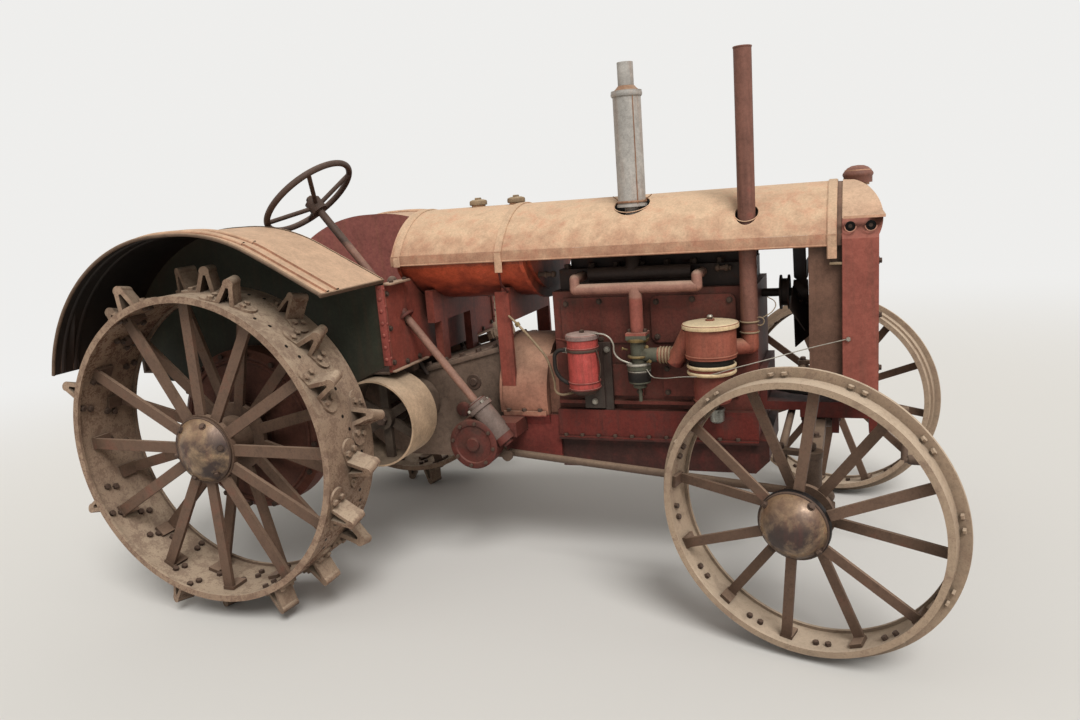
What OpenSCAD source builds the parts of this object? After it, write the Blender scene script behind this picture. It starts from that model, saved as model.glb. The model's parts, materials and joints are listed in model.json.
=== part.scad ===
// Vintage steel-wheeled farm tractor, standard tread, four-cylinder engine.
// Every piece is laid out from the rear axle: +X to the front, +Y to the left side, +Z up.
// stance() then stands that layout on level ground, slightly nose-down, as it parks.

/* [Stance] */
// Rear axle to king pins
wheelbase = 1959; // [1940:1:2000]
// How far the front hubs sit below the rear axle
front_drop = 136.4; // [120:1:150]
// Steering angle at rest, towards the right
steer_rest = 15.4; // [5:0.1:18]
// Outward lean of the front wheels' tops
camber = 2.1; // [0:0.1:3]

/* [Rear wheels] */
// Radius of the rear rim, 42 inch
rear_rim_r = 533.4; // [525:0.1:540]
// Width of the rear rim
rear_rim_w = 262; // [240:1:280]
// Thickness of the rear rim's band
rear_rim_t = 12; // [8:1:16]
// Depth of the lip rolled in at the rear rim's edges
rear_lip = 22; // [16:1:30]
// Middle of the rear rim from the centre line
rear_track_y = 679; // [670:1:690]
// Lugs round one rear wheel
lug_n = 24; // [24]
// Height of a lug over the rim
lug_h = 87; // [70:1:95]
// Length of a lug along its ridge
lug_len = 64; // [50:1:70]
// Angle of a lug across the tread
lug_skew = 18; // [10:1:25]
// Spokes in each of the rear wheel's two sets
rear_spoke_n = 12; // [12]
// Width of a rear spoke
rear_spoke_w = 38; // [30:1:44]
// Radius of the rear hub's spoke flanges
rear_flange_r = 122; // [115:1:130]
// Radius of the rear hub's cap
rear_cap_r = 112; // [100:1:114]
// Radius of the rear axle shaft
axle_r = 42; // [38:1:48]

/* [Front wheels] */
// Radius of the front rim, 30.5 inch
front_rim_r = 387.35; // [380:0.05:392]
// Width of the front rim
front_rim_w = 127; // [115:1:135]
// Thickness of the front rim's band
front_rim_t = 9; // [7:1:12]
// Depth of the lip rolled in at the front rim's edges
front_lip = 18; // [14:1:24]
// Height of the skid ring over the front rim
skid_h = 27; // [20:1:32]
// Spokes of a front wheel
front_spoke_n = 12; // [12]
// Width of a front spoke
front_spoke_w = 28; // [22:1:32]
// King pin to the middle of the front rim
king_offset = 80; // [78:1:84]
// King pins from the centre line
king_y = 583; // [575:1:590]
// Radius of the front spindle
spindle_r = 22; // [20:1:24]
// Radius of the front hub's cap
front_cap_r = 90; // [80:1:96]

/* [Front axle and steering] */
// Height of the axle beam's middle over the hub centre
beam_lift = 91; // [88:1:96]
// Height of the axle beam
beam_h = 50; // [44:1:54]
// Length of the arms that carry the tie rod
tie_arm = 90; // [86:1:92]
// Radius of the tie rod
tie_r = 12; // [10:1:14]
// Reach of the steering arm that the drag link moves
drag_arm = 136; // [130:1:140]
// Radius of the drag link
drag_r = 13; // [10:1:15]
// Steering column from the centre line
column_y = 300; // [296:1:304]
// Slope of the steering column from level
column_slope = 52; // [51:0.5:53]
// Length of the steering shaft, from the worm housing's top to the wheel's hub
column_len = 912; // [895:1:915]
// Radius of the steering wheel
steer_wheel_r = 178; // [168:1:178]
// Radius of the round steering gear case
gear_case_r = 90; // [84:1:94]
// Length of the drop arm
drop_arm_len = 112; // [108:1:116]

/* [Drive train] */
// Half width of the transmission case
trans_half_w = 165; // [150:1:175]
// Radius of the clutch housing
bell_r = 212; // [206:1:216]
// Half width of the crankcase flange
crank_half_w = 200; // [192:1:206]
// Radius of the final drive covers
final_r = 300; // [290:1:310]
// Radius of the belt pulley
pulley_r = 155; // [145:1:160]
// Width of the belt pulley
pulley_w = 174; // [160:1:180]

/* [Engine] */
// Rear face of the engine
engine_rear_x = 1085; // [1080:1:1090]
// Front face of the engine
engine_front_x = 1777; // [1770:1:1785]
// Half width of the cylinder block
block_half_w = 172; // [160:1:178]
// Radius of the intake stack
stack_r = 27; // [24:1:29]
// Radius of the muffler
muffler_r = 46; // [42:1:50]
// Radius of the pipe above the muffler
muffler_pipe_r = 26; // [22:1:28]

/* [Hood and tank] */
// Radius of the hood's round top
hood_r = 325; // [320:1:330]
// Half width of the hood
hood_half_w = 280; // [276:1:284]
// Height of the hood's crown over the rear axle
hood_top = 735; // [730:1:740]
// Height of the hood's lower edge over the rear axle
hood_edge = 550; // [545:1:556]
// Thickness of the hood's sheet
hood_t = 3; // [2:0.5:4]
// Rear end of the hood
hood_rear_x = 520; // [515:1:525]

/* [Radiator] */
// Depth of the radiator, front to back
rad_depth = 100; // [96:1:104]
// Half width of the radiator
rad_half_w = 286; // [284:1:290]

/* [Fenders] */
// Radius of the fender's arc
fender_r = 597; // [590:1:600]
// Height of the fender arc's centre over the rear axle
fender_lift = 127; // [122:1:132]
// Thickness of the fender's sheet
fender_t = 4; // [3:0.5:5]
// Outer edge of the fender from the centre line
fender_out = 800; // [790:1:805]
// Inner edge of the fender from the centre line
fender_in = 440; // [436:1:446]
// How high the beads stand on the fender's top
bead_height = 7; // [4:1:9]
// Width of a bead
bead_width = 14; // [10:1:18]

/* [Hidden] */
$fn = 64;
// Smallest gap between pieces of different bodies, and the play of a running fit
gap = 0.3;
run = 0.05;
// Lugs stand in pairs about the lowest point, so a wheel rests on two of them
lug_step = 360 / lug_n;
rear_tip_r = rear_rim_r + lug_h;
lug_ridge_r = 17;
// Inner end of the rear hub's barrel from the middle of the rim
hub_end = 104;
rear_axle_z = (rear_tip_r - lug_ridge_r) * cos(lug_step / 2) + lug_ridge_r
    + lug_len / 2 * sin(lug_skew) * sin(lug_step / 2);
// The left front wheel leans by its camber and, being steered, by a share of the nose-down angle
ring_out = 12;
front_lean = camber + asin(sin(steer_rest) * sin(1.8));
front_tip_r = front_rim_r + skid_h;
front_reach = front_tip_r * cos(front_lean) + (king_offset + ring_out) * sin(front_lean);
stance_reach = norm([wheelbase, front_drop]);
nose_down = asin((rear_axle_z - front_reach) / stance_reach) - atan2(front_drop, wheelbase);
// Extremes of the finished outline, the left front skid ring and the drawbar's end, which
// centre the part over its origin
ring_front_x = wheelbase + (king_offset + ring_out) * sin(steer_rest) + front_tip_r * cos(steer_rest);
drawbar_end = 700;
drawbar_low = 245;
reach_front = ring_front_x * cos(nose_down) - front_drop * sin(nose_down);
reach_rear = drawbar_end * cos(nose_down) + drawbar_low * sin(nose_down);
origin_x = (reach_rear - reach_front) / 2;
// Room between the tank's shell and the hood
tank_room = 10;
fender_angle = 29.2;
// Inner edges of the beads, from the centre line
bead_places = [fender_out - 100, fender_out - 48];
fender_cut_z = 264;
fender_front_x = 577;
fender_front_z = 516;
bell_z = 45;
hub_z = -front_drop;
beam_z = hub_z + beam_lift;
// Bottom and top of the axle's king pin bosses over the hub centre
boss_low = 36;
boss_top = beam_lift + 46;
// Steering arm's top face under the hub centre
arm_drop = 47;
hood_c = hood_top - hood_r;
rad_x0 = wheelbase + 77;
rad_x1 = rad_x0 + rad_depth;
hood_front_x = rad_x0 - 15;
column_dir = [cos(column_slope), 0, -sin(column_slope)];
worm_top = [813, -column_y, 60];
wheel_hub = worm_top - column_dir * column_len;
shield_x = 560;
gear_case = [806, -column_y, -86];
crank_z = -24;
crank_rod_r = 13;
// Plates behind the radiator, and the fan ahead of them
guard_x = rad_x0 - 96;
fan_x = guard_x - 60;
fan_z = 380;
fan_r = 198;
pulley_x = 507;
pulley_z = 25;
pulley_y = 403;
stack_x = 1757;
stack_y = 210;
muffler_x = 1376;
muffler_y = 130;

// Placing

module stance() {
    translate([origin_x, 0, rear_axle_z]) rotate([0, nose_down, 0]) children();
}
module on_left(side) {
    // side is -1 for the right and 1 for the left
    if (side < 0) children();
    else mirror([0, 1, 0]) children();
}
module along_x(r, x0, x1) {
    translate([x0, 0, 0]) rotate([0, 90, 0]) cylinder(r = r, h = x1 - x0);
}
module along_y(r, y0, y1) {
    translate([0, y1, 0]) rotate([90, 0, 0]) cylinder(r = r, h = y1 - y0);
}
module box(x, y, z) {
    // A block from its ranges [low, high] along each axis
    translate([x[0], y[0], z[0]]) cube([x[1] - x[0], y[1] - y[0], z[1] - z[0]]);
}
module ring_y(ro, ri, y0, y1) {
    difference() {
        along_y(ro, y0, y1);
        along_y(ri, y0 - 1, y1 + 1);
    }
}
module rod(a, b, r) {
    // A straight round bar between two points
    d = b - a;
    translate(a) rotate([0, acos(d[2] / norm(d)), atan2(d[1], d[0])]) cylinder(r = r, h = norm(d));
}
module at_king_pin(side) {
    // The right knuckle's own frame: origin on the king pin at hub height, +X ahead, -Y outward
    translate([wheelbase, side * king_y, hub_z]) rotate([0, 0, -steer_rest]) on_left(side) children();
}
module at_front_wheel(side) {
    at_king_pin(side) rotate([camber, 0, 0]) translate([0, -king_offset, 0]) children();
}

// Rear wheels: the outer face looks along -Y

module lug_profile() {
    // One folded strap seen across its ridge: two feet, two legs and a rounded ridge
    leg_w = 34;
    foot = 62;
    t = 12;
    difference() {
        union() {
            polygon([[-leg_w, -8], [leg_w, -8], [15, lug_h - 16], [-15, lug_h - 16]]);
            translate([0, lug_h - lug_ridge_r]) circle(r = lug_ridge_r);
        }
        polygon([[-leg_w + t + 2, -9], [leg_w - t - 2, -9], [4, lug_h - 30], [-4, lug_h - 30]]);
    }
    for (s = [-1, 1]) rotate(-s * 5) translate([s * foot / 2 + s * 12, 2]) square([foot / 2 + 14, 12], center = true);
}
module lug(skew) {
    rotate([0, 0, skew]) translate([0, lug_len / 2, 0]) rotate([90, 0, 0])
        linear_extrude(lug_len) lug_profile();
}
module rear_rim_body() {
    rotate([90, 0, 0]) rotate_extrude() difference() {
        translate([rear_rim_r - rear_lip, -rear_rim_w / 2]) square([rear_lip, rear_rim_w]);
        translate([rear_rim_r - rear_lip - 1, -rear_rim_w / 2 + 10])
            square([rear_lip - rear_rim_t + 1, rear_rim_w - 20]);
    }
    // Lugs cycle through three places across the tread: columns are the place and its turn
    rows = [[0, 1], [-72, 1], [66, -1]];
    for (k = [0 : lug_n - 1])
        rotate([0, (k + 0.5) * lug_step - nose_down, 0])
            translate([0, rows[k % 3][0], rear_rim_r]) lug(rows[k % 3][1] * lug_skew);
}
module rear_spoke(y_hub, y_rim) {
    // A flat bar, its end bent along the rim
    tip = rear_rim_r - rear_rim_t - 1;
    lean = atan2(y_rim - y_hub, tip - 90);
    translate([0, y_hub, 90]) rotate([-lean, 0, 0])
        translate([-rear_spoke_w / 2, -7, 0]) cube([rear_spoke_w, 14, tip - 90 - 5]);
    foot_y = y_rim < 0 ? [y_rim - 8, y_rim + 62] : [y_rim - 62, y_rim + 8];
    foot_w = rear_spoke_w / 2 + 3;
    foot_top = sqrt(pow(rear_rim_r - rear_rim_t - gap, 2) - pow(foot_w, 2));
    box([-foot_w, foot_w], foot_y, [tip - 12, foot_top]);
}
module dome(r, h) {
    // A spherical cap standing on its flat face, h high
    sphere_r = (r * r + h * h) / (2 * h);
    rotate_extrude() intersection() {
        square([r, h]);
        translate([0, h - sphere_r]) circle(r = sphere_r);
    }
}
module rear_hub_body() {
    along_y(78, -80, hub_end);
    along_y(rear_flange_r, -80, -60);
    along_y(rear_flange_r, 76, 96);
    along_y(rear_cap_r + 3, -88, -70);
    translate([0, -88, 0]) rotate([90, 0, 0]) dome(rear_cap_r, 44);
    for (k = [0 : rear_spoke_n - 1]) {
        rotate([0, k * 360 / rear_spoke_n, 0]) rear_spoke(-70, -66);
        rotate([0, (k + 0.5) * 360 / rear_spoke_n, 0]) rear_spoke(84, 66);
    }
}
module rear_axle_body() {
    // Axle shaft from the hub into the final drive
    along_y(axle_r, hub_end + gap, 420);
}
module rear_wheel_at(side) {
    translate([0, side * rear_track_y, 0]) on_left(side) children();
}

// Front wheels: the outer face looks along -Y

module front_rim_body() {
    rotate([90, 0, 0]) rotate_extrude() {
        difference() {
            translate([front_rim_r - front_lip, -front_rim_w / 2]) square([front_lip, front_rim_w]);
            translate([front_rim_r - front_lip - 1, -front_rim_w / 2 + 9])
                square([front_lip - front_rim_t + 1, front_rim_w - 18]);
        }
        // Skid ring of angle iron
        translate([front_rim_r - 1, -33]) square([9, 45]);
        translate([front_rim_r - 1, 2]) square([skid_h + 1, 10]);
    }
}
module front_spoke(y_hub, y_rim) {
    tip = front_rim_r - front_rim_t - 1;
    lean = atan2(y_rim - y_hub, tip - 60);
    translate([0, y_hub, 60]) rotate([-lean, 0, 0])
        translate([-front_spoke_w / 2, -5, 0]) cube([front_spoke_w, 10, tip - 60 - 4]);
    foot_y = y_rim < 0 ? [y_rim - 6, y_rim + 44] : [y_rim - 44, y_rim + 6];
    foot_w = front_spoke_w / 2 + 3;
    foot_top = sqrt(pow(front_rim_r - front_rim_t - gap, 2) - pow(foot_w, 2));
    box([-foot_w, foot_w], foot_y, [tip - 10, foot_top]);
}
module front_hub_body() {
    difference() {
        union() {
            along_y(52, -78, 16);
            along_y(84, 2, 16);
            along_y(84, -74, -60);
            along_y(front_cap_r + 3, -82, -70);
            translate([0, -82, 0]) rotate([90, 0, 0]) dome(front_cap_r, 46);
            for (k = [0 : front_spoke_n - 1])
                rotate([0, (k + 0.25) * 360 / front_spoke_n, 0])
                    if (k % 2 == 0) front_spoke(-67, -22);
                    else front_spoke(9, 14);
        }
        along_y(spindle_r + run, -84, 30);
    }
}

// Knuckles, king pin frame of the right side

module knuckle_body() {
    difference() {
        union() {
            // King pin with its head
            translate([0, 0, -30]) cylinder(r = 15, h = boss_top + 40);
            translate([0, 0, boss_top]) cylinder(r = 30, h = 16);
            // Body under the beam and the spindle
            translate([0, 0, -arm_drop - 14]) cylinder(r = 34, h = boss_low + arm_drop + 14);
            rotate([camber, 0, 0]) along_y(34, -57, 0);
            rotate([camber, 0, 0]) along_y(spindle_r, -(king_offset + 80), 0);
            // Arm to the tie rod, straight back when the wheels point ahead
            box([-tie_arm, 0], [-13, 13], [boss_top, boss_top + 14]);
            translate([-tie_arm, 0, boss_top]) cylinder(r = 20, h = 14);
        }
        translate([-tie_arm, 0, boss_top - 20]) cylinder(r = 8 + run, h = 60);
    }
}
module drag_arm_body() {
    // Arm inward from the right knuckle to the drag link's front ball
    rotate([0, 0, 90]) difference() {
        union() {
            box([20, drag_arm], [-14, 14], [-arm_drop - 14, -arm_drop]);
            translate([drag_arm, 0, -arm_drop - 14]) cylinder(r = 21, h = 14);
        }
        translate([drag_arm, 0, -arm_drop - 20]) cylinder(r = 8 + run, h = 30);
    }
}
function turned(v, a) = [v[0] * cos(a) - v[1] * sin(a), v[0] * sin(a) + v[1] * cos(a), v[2]];
king_right = [wheelbase, -king_y, hub_z];
drag_front = king_right + turned([0, drag_arm, 0], -steer_rest) - [0, 0, arm_drop - 20.4];
drop_angle = 35;
drop_end = gear_case + [drop_arm_len * cos(drop_angle), 0, -drop_arm_len * sin(drop_angle)];
drop_plate = [-column_y + 38, -column_y + 50];
drag_rear = [drop_end[0], drop_plate[1] + 31, drop_end[2]];
tie_z = hub_z + boss_top - 13;

// Height of the transmission case's sloping top
function case_top(x) = 150 + (x - 520) * 85 / 348;

module transmission_case() color("#6a5f55") stance() {
    difference() {
        union() {
            // Side profile of the case
            translate([0, trans_half_w, 0]) rotate([90, 0, 0]) linear_extrude(2 * trans_half_w)
                polygon([[-230, -190], [868, -190], [868, case_top(868)], [520, 150], [430, 150], [-230, 190]]);
            // Round side bosses for the belt pulley shaft and the bevel gear
            translate([pulley_x, 0, pulley_z]) along_y(92, -250, 0);
            translate([pulley_x, 0, pulley_z]) along_y(60, -300, 0);
        }
        translate([pulley_x, 0, pulley_z]) along_y(30 + run, -301, -180);
    }
    // Filler neck and shift tower on the top
    translate([470, 0, 140]) cylinder(r = 70, h = 50);
    rod([470, 0, 180], [352, 0, 462], 10);
    translate([349, 0, 470]) sphere(r = 20);
}
module axle_housings() color("#6b4a3c") stance() {
    for (side = [-1, 1]) on_left(side) {
        translate([0, -trans_half_w - gap, 0]) rotate([90, 0, 0]) rotate_extrude()
            polygon([[axle_r + run, 20], [axle_r + run, 0], [150, 0], [150, 40], [118, 70], [118, 220], [final_r, 275],
                [final_r, 350], [final_r - 22, 368], [110, 368], [110, 378], [axle_r + run, 378]]);
    }
}
module clutch_housing() color("#8a5a48") stance() {
    x0 = 868.3;
    difference() {
        union() {
            translate([0, 0, bell_z]) along_x(bell_r, x0 + 6, 1050);
            box([x0, engine_rear_x - gap], [-crank_half_w + 10, crank_half_w - 10], [-170, -12]);
            box([x0, x0 + 20], [-trans_half_w, trans_half_w], [-170, 235]);
            // Lip where the two halves meet, and the ring round the bell's rear edge
            box([x0 + 12, 1044], [-bell_r - 5, bell_r + 5], [-13, 5]);
            difference() {
                translate([0, 0, bell_z]) along_x(bell_r + 5, x0 + 2, x0 + 11.4);
                box([x0, x0 + 20], [-230, 230], [-300, 0]);
            }
        }
        translate([0, 0, -270]) box([x0 - 10, 1100], [-250, 250], [0, 100]);
    }
    box([1050, engine_rear_x - gap], [-block_half_w, block_half_w], [-10, 200]);
}
module crankcase() color("#8e2f26") stance() {
    x0 = engine_rear_x;
    box([x0, engine_front_x], [-crank_half_w, crank_half_w], [-84, 12]);
    // Oil pan, its front curving up
    pan = crank_half_w - 22;
    difference() {
        box([x0, engine_front_x + 30], [-pan, pan], [-204, -84]);
        translate([engine_front_x + 60, 300, -270]) rotate([90, 0, 0]) rotate([0, 0, 45])
            translate([-100, -100, 0]) cube([200, 200, 600]);
    }
    box([x0, engine_front_x], [-crank_half_w - 8, crank_half_w + 8], [-96, -84]);
}
module rounded_plate(x, z, r) {
    // A flat outline with its four corners rounded
    translate([x[0] + r, z[0]]) square([x[1] - x[0] - 2 * r, z[1] - z[0]]);
    translate([x[0], z[0] + r]) square([x[1] - x[0], z[1] - z[0] - 2 * r]);
    for (cx = [x[0] + r, x[1] - r], cz = [z[0] + r, z[1] - r]) translate([cx, cz]) circle(r = r);
}
module engine_block() color("#7a2b25") stance() {
    box([engine_rear_x, engine_front_x], [-block_half_w, block_half_w], [12.3, 426]);
    // Side covers
    for (side = [-1, 1])
        for (x = [engine_rear_x + 60, engine_rear_x + 380])
            on_left(side) box([x, x + 250], [-block_half_w - 9, -block_half_w + 1], [60, 170]);
    // Upper covers, rounded at their corners, and the rib over the crankcase flange
    for (side = [-1, 1], x = [engine_rear_x + 30, engine_front_x - 345])
        on_left(side) translate([0, -block_half_w + 1, 0]) rotate([90, 0, 0]) linear_extrude(10)
            rounded_plate([x, x + 280], [246, 404], 24);
    for (x = [[engine_rear_x + 4, 1189], [1291, engine_front_x - 210]])
        box(x, [-block_half_w - 18, -block_half_w + 1], [32, 44]);
}
module cylinder_head() color("#3a2a26") stance() {
    box([engine_rear_x + 20, engine_front_x - 20], [-140, 140], [426.3, 500]);
    box([engine_rear_x + 50, engine_front_x - 50], [-95, 95], [500, 560]);
}
module intake_manifold() color("#b08a7c") stance() {
    y = -236;
    z = 440;
    for (end = [[1190, 1], [1600, -1]]) {
        rod([end[0], y, z], [end[0], y, z + 34], 17);
        rod([end[0], y, z + 34], [end[0], -140 - gap, z + 34], 17);
        translate([end[0], y, z]) sphere(r = 17);
        translate([end[0], y, z + 34]) sphere(r = 17);
    }
    translate([0, y, z]) along_x(18, 1190, 1600);
    rod([1397, y, z], [1397, y, 292], 22);
    translate([1397, y, 284]) box([-34, 34], [-30, 30], [0, 9]);
}
module exhaust_manifold() color("#4b3a34") stance() {
    translate([0, -178, 482]) along_x(24, 1226, 1574);
    for (x = [1250, 1345, 1450, 1550]) rod([x, -178, 480], [x, -140 - gap, 480], 18);
    rod([muffler_x, -178, 482], [muffler_x, -muffler_y, 600], 24);
    translate([muffler_x, -muffler_y, 595]) cylinder(r = 38, h = 14);
}
module carburettor() color("#6f7468") stance() {
    translate([1397, -236, 0]) {
        translate([0, 0, 270]) box([-34, 34], [-30, 30], [0, 13.7]);
        translate([0, 0, 150]) cylinder(r = 26, h = 125);
        translate([0, 0, 168]) cylinder(r = 40, h = 18);
        translate([0, 0, 122]) cylinder(r = 36, h = 46);
        translate([0, 0, 105]) cylinder(r = 22, h = 20);
        translate([0, 0, 215]) along_x(24, 0, 66);
        rod([0, 0, 110], [0, 0, 56], 6);
    }
}
cleaner = [1643, -272, 0];
module air_cleaner() color("#a4503d") stance() {
    translate(cleaner) {
        translate([0, 0, 316]) cylinder(r = 88, h = 10);
        translate([0, 0, 326]) cylinder(r = 14, h = 12);
        translate([0, 0, 216]) cylinder(r = 80, h = 101);
        translate([0, 0, 190]) cylinder(r = 66, h = 27);
        translate([0, 0, 168]) cylinder(r = 73, h = 22);
        translate([0, 0, 70]) cylinder(r = 58, h = 99);
    }
    // Horn down to the carburettor and its ribbed hose
    rod([1580, -268, 300], [1520, -240, 190], 30);
    translate([0, -236, 215]) along_x(25, 1463.4, 1530);
    // Clamped elbow from the intake stack
    rod([cleaner[0], cleaner[1], 240], [stack_x, -stack_y, 240], 26);
    rod([stack_x, -stack_y, 240], [stack_x, -stack_y, 290], 28);
    translate([stack_x, -stack_y, 240]) sphere(r = 28);
    // Bracket to the block
    box([1605, 1681], [-225, -block_half_w - 9.3], [225, 290]);
}
module intake_stack() color("#8b4a3a") stance() {
    translate([stack_x, -stack_y, 290.3]) difference() {
        cylinder(r = stack_r, h = 858);
        translate([0, 0, 780]) cylinder(r = stack_r - 2.5, h = 100);
    }
}
module muffler() color("#a8a8a6") stance() {
    translate([muffler_x, -muffler_y, 609.3]) {
        cylinder(r = muffler_pipe_r, h = 100);
        translate([0, 0, 90]) cylinder(r = muffler_r, h = 370);
        for (z = [90, 452]) translate([0, 0, z]) cylinder(r = muffler_r + 4, h = 9);
        difference() {
            translate([0, 0, 450]) cylinder(r = muffler_pipe_r, h = 100);
            translate([0, 0, 470]) cylinder(r = muffler_pipe_r - 3, h = 200);
        }
    }
}
module oil_filter() color("#c8504c") stance() {
    translate([1208, -250, 0]) {
        translate([0, 0, 277]) cylinder(r = 56, h = 14);
        translate([0, 0, 104]) cylinder(r = 53, h = 174);
        translate([0, 0, 90]) cylinder(r = 30, h = 15);
    }
    box([1190, 1262], [-205, -block_half_w - 9.3], [20, 250]);
    box([1262, 1290], [-196, -block_half_w - 9.3], [12.3, 250]);
}
module magneto() color("#3b3b3b") stance() {
    box([1240, 1420], [block_half_w + 9.3, 262], [40, 130]);
    translate([0, block_half_w + 56, 140]) along_x(45, 1260, 1360);
    translate([0, block_half_w + 50, 90]) along_x(30, 1419, 1560);
}
module tank_section(grow) {
    tank_top = hood_top - hood_t - tank_room;
    tank_mid = 561;
    r = tank_top - hood_c + grow;
    intersection() {
        translate([0, hood_c]) circle(r = r, $fn = 240);
        translate([0, 2 * tank_mid - hood_c]) circle(r = r, $fn = 240);
        translate([0, tank_mid]) square([2 * (258 + grow), 500], center = true);
    }
}
module fuel_tank() color("#c04a28") stance() {
    rotate([90, 0, 90]) {
        translate([0, 0, 542]) linear_extrude(470) tank_section(0);
        translate([0, 0, 536]) linear_extrude(8) tank_section(tank_room - gap);
        translate([0, 0, 1008]) linear_extrude(14) tank_section(tank_room - gap);
        translate([0, 0, 1020]) linear_extrude(14) tank_section(-24);
    }
}
module tank_bracket() color("#7b3026") stance() {
    // Cradles under the tank, standing on the clutch housing
    for (x = [600, 905])
        rotate([90, 0, 90]) translate([0, 0, x]) linear_extrude(30) difference() {
            translate([-200, 330]) square([400, 120]);
            tank_section(0.3);
        }
    for (side = [-1, 1]) on_left(side) {
        difference() {
            box([880, 933], [-206, -190], [90, 437]);
            translate([0, 0, bell_z]) along_x(bell_r + gap, 870, 940, $fn = 240);
        }
        translate([0, -100, 0]) rotate([90, 0, 0]) linear_extrude(50)
            polygon([[600, case_top(600) + gap], [630, case_top(630) + gap], [630, 331], [600, 331]]);
    }
}
module hood_section(inset) {
    // Round top meeting short upright skirts
    r = hood_r - inset;
    w = hood_half_w - inset;
    intersection() {
        union() {
            translate([0, hood_c]) circle(r = r);
            translate([0, hood_edge + 12]) square([2 * w, 44], center = true);
        }
        translate([0, hood_edge + 200]) square([2 * w, 400], center = true);
    }
}
module hood_shell(x0, x1, outset, thick) {
    rotate([90, 0, 90]) translate([0, 0, x0]) linear_extrude(x1 - x0) difference() {
        hood_section(-outset);
        hood_section(thick - outset);
        translate([0, hood_edge]) square([2 * (hood_half_w - thick + outset), 2], center = true);
    }
}
module hood() color("#c0a184") stance() {
    difference() {
        union() {
            hood_shell(hood_rear_x, hood_front_x, 0, hood_t);
            // Bands: rear, middle and front
            hood_shell(hood_rear_x, hood_rear_x + 30, 3, 6);
            hood_shell(922, 950, 3, 6);
            hood_shell(hood_front_x - 28, hood_front_x, 3, 6);
        }
        // Openings for the muffler and the stack
        translate([muffler_x, -muffler_y, 600]) cylinder(r = muffler_r + 13, h = 200);
        translate([stack_x, -stack_y, 560]) cylinder(r = stack_r + 8, h = 200);
    }
    // Ends of the middle and front bands, below the skirt
    for (side = [-1, 1], x = [922, hood_front_x - 28])
        on_left(side) box([x + 1, x + 27], [-hood_half_w - 2.5, -hood_half_w + 0.5], [hood_edge - 38, hood_edge + 6]);
    for (x = [755, 908]) translate([x, 0, hood_top - 3]) cylinder(r = 26, h = 20);
}
module radiator_frame() color("#8f3b30") stance() {
    // Cast top tank, rounded at the front, two side columns and the bottom tank
    difference() {
        intersection() {
            rotate([90, 0, 90]) translate([0, 0, rad_x0]) linear_extrude(rad_depth + 30) intersection() {
                translate([0, 425]) square([2 * rad_half_w, 670], center = true);
                union() {
                    translate([0, hood_c]) circle(r = hood_r + 2);
                    translate([0, 327]) square([2 * rad_half_w + 20, 474], center = true);
                }
            }
            union() {
                box([rad_x0 - 5, rad_x1], [-400, 400], [40, 640]);
                translate([rad_x0, 0, 627]) along_y(rad_depth + 12, -400, 400);
            }
        }
        box([rad_x0 - 1, rad_x1 + 20], [-236, 236], [100, 600]);
        // Pockets for the bolts that hold the tank on its columns
        for (side = [-1, 1], x = [rad_x0 + 22, rad_x0 + 78])
            on_left(side) translate([x, 0, 604]) along_y(15, -rad_half_w - 1, -rad_half_w + 18);
    }
    // Lip round the foot of the top tank
    difference() {
        box([rad_x0 + 3, rad_x1 + 17], [-rad_half_w - 4, rad_half_w + 4], [626, 634]);
        box([rad_x0 - 1, rad_x1 - 20], [-rad_half_w + 10, rad_half_w - 10], [600, 660]);
    }
    // Arched ledge that the hood's front end rests on, and the plates behind the core
    rotate([90, 0, 90]) translate([0, 0, hood_front_x - 16]) linear_extrude(rad_x0 - hood_front_x + 17)
        difference() {
            hood_section(hood_t + gap);
            hood_section(hood_t + 13);
        }
    difference() {
        intersection() {
            box([guard_x, guard_x + 12], [-277, 277], [150, 740]);
            rotate([90, 0, 90]) translate([0, 0, guard_x - 10]) linear_extrude(40) {
                hood_section(hood_t + gap);
                translate([0, 350]) square([524, 420], center = true);
            }
        }
        translate([0, 0, fan_z]) along_x(fan_r + 18, guard_x - 10, guard_x + 20);
    }
    for (side = [-1, 1]) on_left(side) box([guard_x + 11, rad_x0 + 1], [-262, -254], [150, 549]);
    // Filler neck and cap
    translate([rad_x0 + 44, 0, 715]) cylinder(r = 34, h = 36);
    translate([rad_x0 + 44, 0, 745]) cylinder(r = 40, h = 18);
}
module radiator_core() color("#2b2b2a") stance() {
    box([rad_x0 + 20, rad_x1 - 10], [-235.7, 235.7], [100.3, 599.7]);
}
module front_bolster() color("#7d2f27") stance() {
    difference() {
        union() {
            // Saddle from the engine to under the radiator
            box([engine_front_x + gap, rad_x1], [-150, 150], [12, 39.7]);
            box([engine_front_x + gap, engine_front_x + 24], [-150, 150], [12, 150]);
            for (side = [-1, 1]) on_left(side) box([wheelbase - 56, rad_x1], [-150, -126], [-12, 13]);
            // Cross plate that carries the starting crank
            box([rad_x1 - 24, rad_x1], [-150, 150], [-60, 13]);
            // Lugs that hold the axle's pivot pin
            for (x = [[wheelbase - 56, wheelbase - 38], [wheelbase + 40, wheelbase + 62]])
                box([x[0], x[1]], [-60, 60], [beam_z - 45, 13]);
        }
        translate([0, 0, beam_z]) along_x(20, wheelbase - 69, wheelbase + 81);
        translate([0, 0, crank_z]) along_x(crank_rod_r + run, rad_x1 - 36, rad_x1 + 64);
    }
}
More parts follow.
